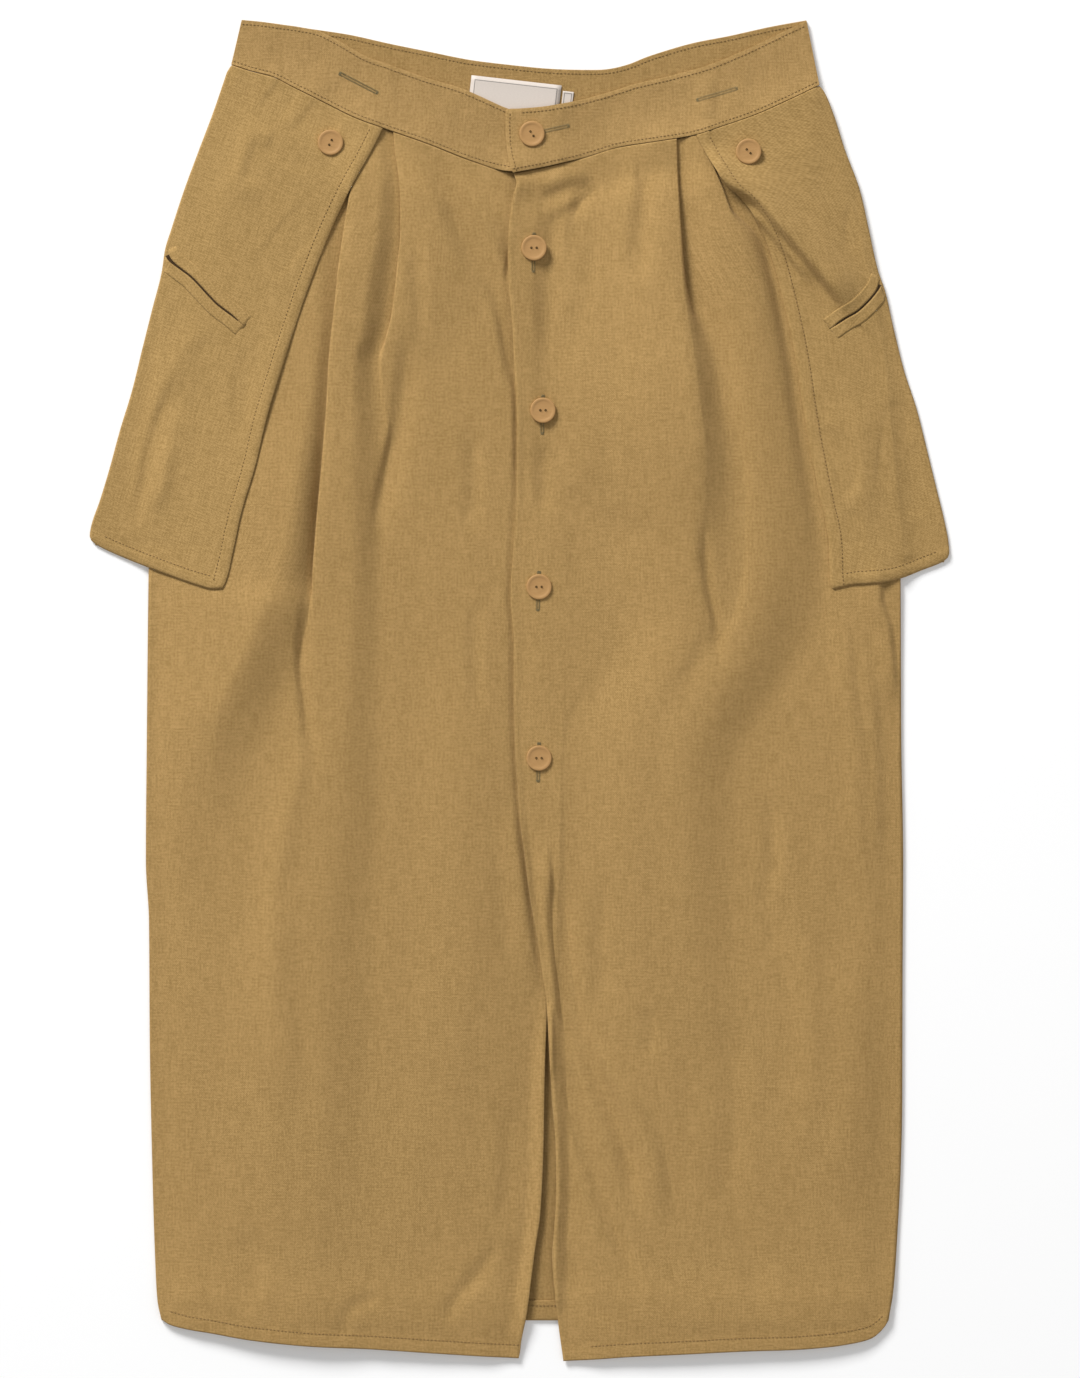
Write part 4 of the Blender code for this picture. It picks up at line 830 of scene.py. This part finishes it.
for side in (left, right):
    spec, cut = flapPiece[side], flapCut[side]
    x, y = flapPlan(side, outline["seam"][side], flapRows, flapColumns)
    under = [frontLayers[side], backLayer, legLayers[side]]
    need = restOn(under, x, y, clothWall["linen"], flapPiece["reach"])
    aboveHem = y - readLine([(side * o, v) for o, v in cut["hem"]], x)
    fromEdge = (side * x - readLine(cut["edge"], y)) * flapPiece["slant"]
    soft = foldsAt(spec["folds"], x, y) + rippleAt(x, y, 31 + side, *flapPiece["ripple"], spec["turn"])
    soft = soft * smooth((readLine(cut["outer"], y) - side * x) / flapPiece["foldFall"])
    overHem, overEdge = flapPiece["hemDeep"] + 0.4 - aboveHem, flapPiece["edgeDeep"] + 0.4 - fromEdge
    step = flapPiece["turnUp"] * np.maximum(smooth(overHem / 1.2), smooth(overEdge / 1.2))
    step = np.maximum(step, flapPiece["foldUp"] * smooth(2.0 - aboveHem))
    hemGroove = bell(aboveHem - flapPiece["hemDeep"], 0.9) * (fromEdge > 7)
    edgeGroove = bell(fromEdge - flapPiece["edgeDeep"], 0.9) * (aboveHem > 7)
    groove = flapPiece["groove"] * np.maximum(hemGroove, edgeGroove)
    inward = np.minimum(fromEdge, aboveHem)
    rim = flapPiece["rimUp"] * smooth(inward / 8) - flapPiece["rimDown"] * smooth(1 - inward / 1.5)
    z = settle(need, flapPiece["settle"]) + np.maximum(soft, -0.6) + step - groove + rim
    z = np.maximum(z, need - 0.3 * smooth(1 - inward / 3))
    # round the outer fold to the leg behind
    top, low = z[:, -1], clothWall["linen"] / 2
    turned = []
    for angle in np.radians([60, 30, 0, -30, -60]):
        up = (top + low) / 2 + (top - low) / 2 * math.sin(angle)
        turned.append(np.stack([x[:, -1] + side * math.cos(angle), y[:, -1], up], axis=-1))
    grid = np.stack([x, y, z], axis=-1)
    grid = np.concatenate([grid, np.stack(turned, axis=1), flapLegs[side][:, ::-1]], axis=1)
    flapPanels[side] = makeSheet("flap" + sideWord[side], grid, clothWall["linen"], linenFlap, -spec["turn"])
    flapLayers[side] = layerOf(grid, clothWall["linen"])
print("flaps laid")


bandPiece = {
    "top": {
        left: [
            (-177.7, 428.9), (-165, 427.7), (-151.8, 425.9), (-140, 424.2), (-127.5, 421.4),
            (-113.8, 414.4), (-98.4, 405.6), (-82.9, 400.1), (-60.9, 392.3), (-38.8, 385.7), (-25.7, 380.2),
            (-8, 372.3), (4, 370), (26, 372)],
        right: [
            (-8.7, 369.4), (-8.2, 371.0), (-6.2, 371.7), (1, 371.9), (18.8, 373.6), (40.6, 378),
            (62.8, 384.3), (73.9, 387.9), (95.9, 393), (118, 399), (140, 407.7), (162, 418.1),
            (173.1, 423.4), (183.6, 428.3)],
    },
    "topBack": [
        (-177.6, 429.1), (-159.7, 427.2), (-134.1, 423.4), (-108.5, 419.5), (-82.9, 413.8), (-57.3, 408.6),
        (-31.7, 403.5), (-6.1, 400.3), (19.5, 397.8), (45.1, 397.1), (57.9, 397.8), (70.7, 401),
        (83.5, 406.1), (109.1, 413.8), (134.7, 418.9), (160.3, 424.6), (183.6, 428.8)],
    "endRight": [
        (-8.7, 369.4), (-8.9, 358.7), (-8, 345.9), (-5.4, 334.6), (-4.2, 330.6)],
    "rows": 14, "columns": 90, "backColumns": 140, "reach": 3, "settle": 30, "rim": 0.35,
    "ripple": (0.16, 40, 60), "rippleBack": (0.12, 60, 60),
    "seamSunk": 0.75, "overlap": 0.35, "edgeDown": 0.3,
}


def bandPlan(top, bottom, columns, endCurve=None):
    part = np.unique(np.concatenate([np.linspace(0, 1, columns), [0.003, 0.008, 0.992, 0.997]]))
    down = np.unique(np.concatenate([np.linspace(0, 1, bandPiece["rows"]), [0.02, 0.05, 0.95, 0.98]]))

    def along(points, step, where):
        curve = curveThrough(points, step)
        own = np.linspace(0, 1, len(curve))
        return np.stack([np.interp(where, own, curve[:, 0]), np.interp(where, own, curve[:, 1])], axis=-1)

    upper, lower = along(top, 2.0, part), along(bottom, 2.0, part) + np.array([0, 0.12])
    grid = upper[None] * (1 - down[:, None, None]) + lower[None] * down[:, None, None]
    if endCurve:
        fade = np.clip(1 - part / 0.12, 0, 1)[None, :, None] ** 2
        grid = grid + (along(endCurve, 1.0, down)[:, None] - grid[:, :1]) * fade
    return grid[..., 0], grid[..., 1], down, part


x, y, down, part = bandPlan(bandPiece["topBack"], outline["seamBack"], bandPiece["backColumns"])
inner = smooth(down / 0.2)[:, None] * smooth((1 - down) / 0.2)[:, None]
z = np.full(x.shape, clothWall["band"] / 2) + rippleAt(x, y, 51, *bandPiece["rippleBack"]) * inner + 0.1
grid = np.stack([x, y, z], axis=-1)
# the back band takes the darker painted-shade copy of the linen
bandBack = makeSheet("bandBack", grid, clothWall["band"], linenInsideShade, rim=bandPiece["rim"])
bandBackLayer = layerOf(grid, clothWall["band"])


labelPiece = {
    "main": {"middle": (-3.4, 376.9), "size": (58, 27), "turn": -6.5, "border": 2.6},
    "size": {"middle": (30.7, 378.2), "size": (7, 10), "turn": -6.5, "border": 1.2},
    "columns": 17, "rows": 9, "crest": 0.25,
    "light": (0.72, 0.64, 0.57, 1), "dark": (0.56, 0.49, 0.43, 1), "line": (0.10, 0.09, 0.08, 1),
}


def labelMaterial(name, spec):
    # woven satin with a thin line set in from its edge
    material, tree, shader = startMaterial(name)
    vector = clothMap(tree)
    split = tree.nodes.new("ShaderNodeSeparateXYZ")
    tree.links.new(vector, split.inputs[0])
    halves = [size / 2 * mm for size in spec["size"]]
    fromSides = [mathNode(tree, "SUBTRACT", halves[k], mathNode(tree, "ABSOLUTE", split.outputs[k]))
                 for k in (0, 1)]
    inset = mathNode(tree, "SUBTRACT", mathNode(tree, "MINIMUM", *fromSides), spec["border"] * mm)
    line = mathNode(tree, "LESS_THAN", mathNode(tree, "ABSOLUTE", inset), 0.0003)
    weave = noiseNode(tree, vector, (0.0012, 0.0003))
    cloth = mixColour(tree, weave, labelPiece["dark"], labelPiece["light"])
    bordered = mixColour(tree, mathNode(tree, "MULTIPLY", line, 0.7), cloth, labelPiece["line"])
    tree.links.new(bordered, shader.inputs["Base Color"])
    addBump(tree, shader, weave, 0.00012, 0.4)
    shader.inputs["Roughness"].default_value = 0.6
    shader.inputs["Sheen Weight"].default_value = 0.1
    return material


def layLabel(name, spec, material):
    a = math.radians(spec["turn"])
    wide, deep = spec["size"]
    u, v = np.meshgrid(np.linspace(-0.5, 0.5, labelPiece["columns"]) * wide,
                       np.linspace(0.5, -0.5, labelPiece["rows"]) * deep)
    x = spec["middle"][0] + u * math.cos(a) - v * math.sin(a)
    y = spec["middle"][1] + u * math.sin(a) + v * math.cos(a)
    z = settle(restOn([bandBackLayer], x, y, clothWall["label"], 1.5, 0.2), 6)
    grid = np.stack([x, y, z + labelPiece["crest"] * bell(v / deep - 0.5, 0.12)], axis=-1)
    piece = makeSheet(name, grid, clothWall["label"], labelMaterial(material, spec))
    # the border line needs a map that runs from the label's middle
    index = np.zeros(len(piece.data.loops), int)
    piece.data.loops.foreach_get("vertex_index", index)
    uv = np.stack([u.ravel()[index], v.ravel()[index]], axis=-1) * mm
    piece.data.uv_layers["cloth"].data.foreach_set("uv", uv.ravel())
    return piece, layerOf(grid, clothWall["label"])


labelMain, labelMainLayer = layLabel("labelMain", labelPiece["main"], "labelSatin")
labelSize, labelSizeLayer = layLabel("labelSize", labelPiece["size"], "labelSatinSmall")
print("labels laid")


bandFolds = {
    left: [
        (-2.6, 11, 0.45, 0, 0.1, 0.8, [(-100, 397), (-109, 389), (-119, 379), (-125, 372)]),
        (-1.8, 8, 0.4, 0, 0.2, 0.5, [(-100, 404), (-95, 388), (-88, 366), (-85, 358)]),
        (-1.6, 9, 0.3, 0, 0, 0, [(-80, 396), (-73, 376), (-62, 358)]),
        (-1.7, 10, 0.4, 0, 0, 0.5, [(-32, 380), (-36, 364), (-44, 348)]),
        (-2.0, 11, 0.4, 0, 0, 0.6, [(-146, 419), (-154, 405), (-160, 392)]),
        (-1.6, 9, 0.4, 0, 0, 0.6, [(-128, 416), (-136, 404), (-142, 388)]),
        (-2.6, 11, 0.4, 0, 0.2, 0, [(-9, 373), (-21, 362), (-35, 351)]),
    ],
    right: [
        (-1.6, 9, 0.4, 0, 0, 0, [(40, 375), (30, 362), (24, 350)]),
        (-1.5, 8, 0.4, 0, 0, 0, [(62, 380), (52, 368), (42, 352)]),
        (-1.4, 8, 0.3, 0, 0, 0, [(84, 386), (86, 370), (84, 356)]),
        (1.2, 10, -0.4, 0, 0, 0, [(120, 396), (122, 380), (118, 362)]),
        (-1.3, 9, 0.3, 0, 0, 0, [(150, 410), (152, 392), (148, 376)]),
    ],
}
under = [backLayer, bandBackLayer, labelMainLayer, labelSizeLayer]
sewnOn = [*frontLayers.values(), *flapLayers.values()]
bands, bandLayers = {}, {}
for side in (left, right):
    end = bandPiece["endRight"] if side == right else None
    x, y, down, part = bandPlan(bandPiece["top"][side], outline["seam"][side], bandPiece["columns"], end)
    need = restOn(under, x, y, clothWall["band"], bandPiece["reach"])
    # at the seam the band lies level with what is sewn to it
    level = restOn(sewnOn, x[-1], y[-1] - 2.5, 0.0, 1.5, 0.0) - bandPiece["seamSunk"]
    for back in range(1, 5):
        need[-back] = np.maximum(need[-back], level - 0.25 * (back - 1))
    soft = foldsAt(bandFolds[side], x, y) + rippleAt(x, y, 61 + side, *bandPiece["ripple"])
    z = settle(need, bandPiece["settle"]) + np.maximum(soft, -0.4) * smooth(down / 0.15 + 0.2)[:, None]
    z = z + bandPiece["overlap"] * smooth((part if side == left else 1 - part) / 0.4)[None, :]
    # the folded edges turn down a little
    frontEnd = bell(1 - part if side == left else part, 0.006)
    z = z - bandPiece["edgeDown"] * (bell(down, 0.025) + bell(1 - down, 0.025))[:, None]
    z = z - bandPiece["edgeDown"] * frontEnd[None, :]
    grid = np.stack([x, y, np.maximum(z, need)], axis=-1)
    bands[side] = makeSheet("band" + sideWord[side], grid, clothWall["band"], linenBand, rim=bandPiece["rim"])
    bandLayers[side] = layerOf(grid, clothWall["band"])
    under = under + [bandLayers[side]]
print("waistbands laid")


weltPiece = {
    "wide": 7.2, "slit": 1.2, "mouth": 3.0, "rows": 8, "columns": 26, "edge": 1.0, "reach": 0.4,
    "crest": 0.12, "endDown": 0.3, "pocketEnd": 0.92, "pocketEdge": 0.4, "pocketReach": 0.8,
    left: [
        (-226.4, 281), (-223.2, 274.9), (-216, 269), (-209.1, 263.6), (-199.3, 253.2), (-193.9, 247.5),
        (-188.5, 243.1), (-182.6, 238.7), (-175.3, 232.1)],
    right: [
        (232.0, 264.2), (229.9, 258.2), (227.3, 253.9), (222.4, 248.2), (215.9, 242.2), (209.3, 238.4),
        (204.8, 235.5), (198.3, 230.8)],
}


def weltMouth(part):
    # half the gap between the lips, wider at the folded edge and shut at the inner end
    half = weltPiece["slit"] / 2
    wider = (weltPiece["mouth"] / 2 - half) * np.clip(1 - part / 0.22, 0, 1) ** 1.5
    return half + wider - half * smooth((part - 0.82) / 0.18)


welts = {}
for side in (left, right):
    slit = curveThrough(weltPiece[side], 1.0)
    own = np.linspace(0, 1, len(slit))
    mouth, across, count = weltMouth(own), acrossOf(slit), weltPiece["columns"]
    for word, way in (("Upper", -side), ("Lower", side)):
        rows = []
        for part in np.linspace(0, 1, weltPiece["rows"]):
            away = mouth * (1 - part) + (weltPiece["slit"] / 2 + weltPiece["wide"]) * part
            line = slit + across * (away * way)[:, None]
            inside = np.abs(line[:, 0]) < readLine(flapCut[side]["outer"], line[:, 1]) - weltPiece["edge"]
            line = line[np.argmax(inside):]
            want, at = np.linspace(0, len(line) - 1, count), np.arange(len(line))
            rows.append(np.stack([np.interp(want, at, line[:, k]) for k in (0, 1)], axis=-1))
        rows = np.array(rows)
        z = restOn([flapLayers[side]], rows[..., 0], rows[..., 1], clothWall["welt"], weltPiece["reach"], 0.0)
        part = np.linspace(0, 1, weltPiece["rows"])[:, None]
        toEnd = np.minimum(np.linspace(0, 1, count), np.linspace(1, 0, count))[None, :]
        z = settle(z, 4) + weltPiece["crest"] * bell(part - 0.06, 0.2)
        z = z - weltPiece["endDown"] * bell(toEnd, 0.04)
        name = "welt" + sideWord[side] + word
        grid = np.concatenate([rows, z[..., None]], axis=-1)
        welts[name] = makeSheet(name, grid, clothWall["welt"], linenFlap, -45 * side)
    # painted shade: a near-black strip between the lips stands in for the shadow inside the pocket mouth
    rows = np.array([slit + across * (mouth + 0.5)[:, None] * t for t in np.linspace(-1, 1, 5)])
    inside = np.abs(rows[..., 0]) < readLine(flapCut[side]["outer"], rows[..., 1]) - weltPiece["pocketEdge"]
    rows = rows[:, inside.all(axis=0) & (own < weltPiece["pocketEnd"])]
    reach = weltPiece["pocketReach"]
    z = restOn([flapLayers[side]], rows[..., 0], rows[..., 1], clothWall["pocket"], reach, 0.02)
    name = "pocket" + sideWord[side]
    grid = np.concatenate([rows, z[..., None]], axis=-1)
    welts[name] = makeSheet(name, grid, clothWall["pocket"], linenPocketShade)
print("welts laid")


stitchPiece = {
    "pitch": 2.4, "long": 1.55, "thick": 0.6, "sunk": 0.06, "loose": 0.06, "steepest": 1.5,
    "inBand": 2.6, "inFlap": 8.1, "flapCorner": 7.5, "backHem": 9.6,
}


def pick(piece, kind, test):
    # selects vertices or faces by their place or normal and stays in edit mode
    bpy.ops.object.mode_set(mode="EDIT")
    bpy.ops.mesh.select_mode(type=kind)
    bpy.ops.mesh.select_all(action="DESELECT")
    bpy.ops.object.mode_set(mode="OBJECT")
    for item in piece.data.vertices if kind == "VERT" else piece.data.polygons:
        item.select = test(item)
    bpy.ops.object.mode_set(mode="EDIT")


def modelStitch():
    # one metre long and thick, lying along x with its ends turned down
    deselectAll()
    bpy.ops.mesh.primitive_cylinder_add(vertices=6, radius=0.5, depth=1, rotation=(0, math.pi / 2, 0))
    stitch = bpy.context.active_object
    bpy.ops.object.transform_apply(rotation=True)
    for place in (-0.32, 0.0, 0.32):
        bpy.ops.object.mode_set(mode="EDIT")
        bpy.ops.mesh.select_all(action="SELECT")
        bpy.ops.mesh.bisect(plane_co=(place, 0, 0), plane_no=(1, 0, 0))
        bpy.ops.object.mode_set(mode="OBJECT")
    # rings from, rings to, size, lift
    for low, high, size, up in ((0.45, 0.6, 0.5, -0.45), (0.2, 0.45, 0.86, -0.1), (-0.1, 0.2, 1.0, 0.06)):
        pick(stitch, "VERT", lambda v: low < abs(v.co.x) <= high)
        bpy.ops.transform.resize(value=(1, size, size * 0.85))
        bpy.ops.transform.translate(value=(0, 0, up))
        bpy.ops.object.mode_set(mode="OBJECT")
    points = np.array([v.co[:] for v in stitch.data.vertices])
    faces = [tuple(p.vertices) for p in stitch.data.polygons]
    bpy.data.objects.remove(stitch)
    return points, faces


stitchShape = modelStitch()


def threadsAt(name, places, material, thick):
    # places: middle, direction and length of each thread; all joined in one piece
    points, faces = [], []
    for middle, way, long in places:
        shape = stitchShape[0] * (long, thick, thick)
        way = np.array(way) / np.linalg.norm(way)
        across = np.cross((0, 0, 1), way)
        across = across / np.linalg.norm(across)
        start = len(points)
        turned = shape[:, :1] * way + shape[:, 1:2] * across + shape[:, 2:] * np.cross(way, across)
        points.extend(np.array(middle) + turned)
        faces.extend(tuple(start + i for i in f) for f in stitchShape[1])
    return newPiece(name, points, faces, material)


def surfaceAt(layer, x, y, under=False):
    # height of a sheet's upper or under side
    tree, wall = layer
    if under:
        hit = tree.ray_cast(Vector((x, y, -50)), Vector((0, 0, 1)))[0]
        return None if hit is None else hit.z - wall / 2
    hit = tree.ray_cast(Vector((x, y, 90)), Vector((0, 0, -1)))[0]
    return None if hit is None else hit.z + wall / 2


stitches = {}


def sew(name, path, layer, under=False):
    spec = stitchPiece
    line = curveThrough(path, spec["pitch"])
    rng = np.random.RandomState(len(name) * 7 + len(line))
    lift = (spec["thick"] / 2 - spec["sunk"]) * (-1 if under else 1)
    places = []
    for a, b in zip(line, line[1:]):
        m = (a + b) / 2 + rng.uniform(-spec["loose"], spec["loose"], 2)
        za, zb = (surfaceAt(layer, *(m + (b - a) * s), under) for s in (-0.4, 0.4))
        zm = surfaceAt(layer, m[0], m[1], under)
        if za is None or zb is None or zm is None or abs(za - zb) > spec["steepest"]:
            continue
        way = ((b - a)[0] * 0.8, (b - a)[1] * 0.8, zb - za)
        places.append(((m[0], m[1], zm + lift), way, spec["long"] * rng.uniform(0.93, 1.05)))
    stitches[name] = threadsAt(name, places, seamThread, spec["thick"])


def sewBand(name, path, away, layer):
    line = curveThrough(path, 4.0)
    sew("stitchBand" + name, line + acrossOf(line) * away, layer)


inBand = stitchPiece["inBand"]
sewBand("LeftTop", bandPiece["top"][left][:-2], -inBand, bandLayers[left])
sewBand("LeftLow", outline["seam"][left][:-1], inBand, bandLayers[left])
sewBand("RightTop", bandPiece["top"][right][3:], -inBand, bandLayers[right])
sewBand("RightLow", outline["seam"][right], inBand, bandLayers[right])
sewBand("RightEnd", bandPiece["endRight"], inBand, bandLayers[right])
sewBand("BackTop", bandPiece["topBack"], -inBand, bandBackLayer)
for side in (left, right):
    word, cut = sideWord[side], flapCut[side]
    hem = outline["hem"][side][1:] if side == left else outline["hem"][side][1:-1]
    sew("stitchHem" + word, [(x, y + frontPiece["hemDeep"]) for x, y in hem], frontLayers[side])
    edge = [(side * (o + stitchPiece["inFlap"]), y) for y, o in cut["edge"][:-1]]
    sew("stitchFlapEdge" + word, edge, flapLayers[side])
    corner = cut["hem"][0][0] + stitchPiece["flapCorner"]
    hem = [(corner, readLine(cut["hem"], corner))] + cut["hem"][2:-3]
    sew("stitchFlapHem" + word, [(side * o, y + flapPiece["hemDeep"]) for o, y in hem], flapLayers[side])
backHem = [(x, outline["hemBack"] + stitchPiece["backHem"]) for x in (-225, -100, 0, 100, 230)]
sew("stitchBackHem", backHem, backLayer)
sew("stitchBackHemUnder", backHem, backLayer, under=True)
print("stitching done", sum(len(s.data.polygons) for s in stitches.values()))


carriers = {
    "bandRight": bandLayers[right], "bandLeft": bandLayers[left], "right": frontLayers[right],
    "flapLeft": flapLayers[left], "flapRight": flapLayers[right],
}
holePiece = {
    "bar": 1.25, "pitch": 0.62, "thick": 0.34, "slit": 0.3,
    "places": [  # name, carrier, start, end
        ("holeWaist", "bandRight", (14.5, 357.0), (31.0, 360.9)),
        ("holePlacket1", "right", (9.2, 291.5), (8.7, 268.0)),
        ("holePlacket2", "right", (15.0, 188.0), (14.4, 164.5)),
        ("holePlacket3", "right", (12.5, 75.5), (11.8, 51.8)),
        ("holePlacket4", "right", (12.5, -34.0), (11.9, -57.6)),
        ("holeBandLeft", "bandLeft", (-114.6, 394.4), (-91.4, 382.3)),
        ("holeBandRight", "bandRight", (113.9, 377.4), (138.6, 384.8)),
    ],
}
holes = {}
for name, carrier, start, end in holePiece["places"]:
    layer, bar = carriers[carrier], holePiece["bar"]
    a, b = np.array(start), np.array(end)
    way = (b - a) / np.linalg.norm(b - a)
    across = np.array([-way[1], way[0]])
    places = []
    for s in np.arange(0, np.linalg.norm(b - a), holePiece["pitch"]):
        for flank in (-1, 1):
            m = a + way * s + across * flank * (bar + holePiece["slit"]) / 2
            places.append(((m[0], m[1], surfaceAt(layer, *m) + 0.12), (*across, 0), bar))
    for tip in (a - way * 0.3, b + way * 0.3):
        for s in (-0.5, 0, 0.5):
            m = tip + way * s
            places.append(((m[0], m[1], surfaceAt(layer, *m) + 0.16), (*across, 0), bar * 2))
    holes[name] = threadsAt(name, places, holeThread, holePiece["thick"])
print("buttonholes sewn")


buttonPiece = {
    "across": 16.2, "thick": 2.4, "rim": 1.5, "dish": 0.35, "round": 0.5, "sides": 56,
    "hole": 1.6, "apart": 3.4, "seatRing": 7.5, "seatGap": 0.05, "thread": 0.45,
    "light": (0.512, 0.296, 0.112, 1), "dark": (0.364, 0.190, 0.062, 1),
    "places": [  # node, carrier, x, y, turn of the holes
        ("button_waist", "bandRight", 8.0, 355.5, -55), ("button_placket_1", "right", 9.3, 282.6, 0),
        ("button_placket_2", "right", 15.0, 178.9, 0), ("button_placket_3", "right", 12.5, 66.2, 0),
        ("button_placket_4", "right", 12.5, -43.2, 0), ("button_flap_left", "flapLeft", -120.6, 349.8, 61),
        ("button_flap_right", "flapRight", 146.2, 344.0, -45),
    ],
}


def modelButton():
    spec = buttonPiece
    half, radius = spec["thick"] / 2 * mm, spec["across"] / 2 * mm
    deselectAll()
    bpy.ops.mesh.primitive_cylinder_add(vertices=spec["sides"], radius=radius, depth=half * 2,
                                        location=(0, 0, half))
    button = bpy.context.active_object
    pick(button, "FACE", lambda face: face.normal.z > 0.9)
    bpy.ops.mesh.inset(thickness=spec["rim"] * mm)
    bpy.ops.mesh.inset(thickness=0.5 * mm, depth=-spec["dish"] * 0.6 * mm)
    bpy.ops.mesh.inset(thickness=0.7 * mm, depth=-spec["dish"] * 0.4 * mm)
    bpy.ops.mesh.inset(thickness=2.0 * mm, depth=0.0)
    pick(button, "FACE", lambda face: face.normal.z < -0.9)
    bpy.ops.mesh.inset(thickness=1.6 * mm)
    bpy.ops.mesh.select_all(action="DESELECT")
    bpy.ops.object.mode_set(mode="OBJECT")
    addBevel(button, spec["round"], 3, 50)
    bpy.ops.object.modifier_apply(modifier="rim")
    for way in (-0.5, 0.5):
        deselectAll()
        bpy.ops.mesh.primitive_cylinder_add(vertices=20, radius=spec["hole"] / 2 * mm, depth=half * 6,
                                            location=(spec["apart"] * way * mm, 0, half))
        drill = bpy.context.active_object
        deselectAll()
        button.select_set(True)
        bpy.context.view_layer.objects.active = button
        cut = button.modifiers.new("drill", "BOOLEAN")
        cut.operation = "DIFFERENCE"
        cut.solver = "EXACT"
        cut.object = drill
        bpy.ops.object.modifier_apply(modifier="drill")
        bpy.data.objects.remove(drill)
    bpy.ops.object.shade_smooth_by_angle(angle=math.radians(35))
    return button


def buttonMaterial():
    material, tree, shader = startMaterial("corozoButton")
    where = tree.nodes.new("ShaderNodeTexCoord").outputs["Object"]
    grain = noiseNode(tree, where, (0.004, 0.0009, 0.004), 3, 0.6)
    speck = noiseNode(tree, where, (0.0007, 0.0007, 0.0007), 2, 0.6)
    tone = mathNode(tree, "MULTIPLY_ADD", grain, 0.7, mathNode(tree, "MULTIPLY", speck, 0.3))
    colour = mixColour(tree, tone, buttonPiece["dark"], buttonPiece["light"])
    tree.links.new(colour, shader.inputs["Base Color"])
    tree.links.new(mathNode(tree, "MULTIPLY_ADD", speck, 0.15, 0.5), shader.inputs["Roughness"])
    addBump(tree, shader, tone, 0.00012, 0.35)
    shader.inputs["Specular IOR Level"].default_value = 0.35
    return material


model = modelButton()
model.data.materials.append(buttonMaterial())
buttons, buttonThreads = {}, {}
for node, carrier, x, y, turn in buttonPiece["places"]:
    a, apart = math.radians(turn), buttonPiece["apart"]
    c, s = math.cos(a), math.sin(a)
    ring = [(x, y)]
    for t in np.arange(8) * math.pi / 4:
        ring.append((x + buttonPiece["seatRing"] * math.cos(t), y + buttonPiece["seatRing"] * math.sin(t)))
    heights = [surfaceAt(carriers[carrier], *p) for p in ring]
    seat = max(h for h in heights if h is not None) + buttonPiece["seatGap"]
    copy = bpy.data.objects.new(node.replace("_", " ").title().replace(" ", ""), model.data.copy())
    scene.collection.objects.link(copy)
    copy.data.transform(Matrix.Translation((x * mm, y * mm, seat * mm)) @ Matrix.Rotation(a, 4, "Z"))
    buttons[node] = copy
    places = []
    for flank in (-0.5, 0.5):
        for k in (-0.3, 0.3):
            middle = (x + c * apart * flank + k, y + s * apart * flank + k * 0.4, seat + 0.75)
            places.append((middle, (0.12, 0.1 * k, 1.0), 1.9))
    for k in (-0.28, 0.28):
        places.append(((x - s * k, y + c * k, seat + 0.1), (c, s, 0), apart + 0.4))
    buttonThreads[node] = threadsAt("sewing" + copy.name, places, seamThread, buttonPiece["thread"])
bpy.data.objects.remove(model)
print("buttons made")


every = [
    backPanel, bandBack, labelMain, labelSize, *frontPanels.values(), *flapPanels.values(), *bands.values(),
    *welts.values(), *stitches.values(), *holes.values(), *buttons.values(), *buttonThreads.values(),
]
for piece in every:
    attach(piece, "root")
replaced = {
    "back_panel": backPanel, "waistband_back": bandBack, "label_main": labelMain, "label_size": labelSize,
    "front_panel_left": frontPanels[left], "front_panel_right": frontPanels[right],
    "flap_left": flapPanels[left], "flap_right": flapPanels[right],
    "waistband_front_left": bands[left], "waistband_front_right": bands[right],
    "welt_left_upper": welts["weltLeftUpper"], "welt_left_lower": welts["weltLeftLower"],
    "welt_right_upper": welts["weltRightUpper"], "welt_right_lower": welts["weltRightLower"],
    **buttons,
}
for node, piece in replaced.items():
    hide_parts(node)

stage = {
    "floor": 4.0, "floorUp": -0.0003, "pale": 0.86, "glow": 0.14,
    "middle": (0.0131, 0.001), "high": 3.0, "seen": 0.8819,  # camera; metres seen up the frame
    "sky": 0.38,
    "key": {"at": (-3.9, 6.5, 4.05), "size": 2.8, "power": 960},
    "fill": {"at": (4.0, -2.0, 6.0), "size": 4.0, "power": 40},
}
deselectAll()
bpy.ops.mesh.primitive_plane_add(size=stage["floor"], location=(0, 0, stage["floorUp"]))
floor = bpy.context.active_object
floor.name = "floor"
material, tree, shader = startMaterial("paleFloor")
shader.inputs["Base Color"].default_value = (stage["pale"], stage["pale"], stage["pale"], 1)
shader.inputs["Roughness"].default_value = 0.9
shader.inputs["Emission Color"].default_value = (1, 1, 1, 1)
shader.inputs["Emission Strength"].default_value = stage["glow"]
floor.data.materials.append(material)

world = bpy.data.worlds.new("softRoom")
scene.world = world
world.use_nodes = True
world.node_tree.nodes["Background"].inputs[0].default_value = (1, 1, 1, 1)
world.node_tree.nodes["Background"].inputs[1].default_value = stage["sky"]
for name in ("key", "fill"):
    lamp = bpy.data.lights.new(name + "Softbox", "AREA")
    lamp.shape = "SQUARE"
    lamp.size = stage[name]["size"]
    lamp.energy = stage[name]["power"]
    holder = bpy.data.objects.new(name + "Softbox", lamp)
    holder.location = stage[name]["at"]
    holder.rotation_euler = (-Vector(stage[name]["at"])).to_track_quat("-Z", "Y").to_euler()
    scene.collection.objects.link(holder)
scene.view_settings.view_transform = "Standard"

lens = bpy.data.cameras.new("camera")
lens.sensor_width = 36
lens.lens = lens.sensor_width * stage["high"] / stage["seen"]
lens.clip_start = 0.05
camera = bpy.data.objects.new("camera", lens)
camera.location = (*stage["middle"], stage["high"])
scene.collection.objects.link(camera)
scene.camera = camera
bpy.context.view_layer.update()
print("stage set")
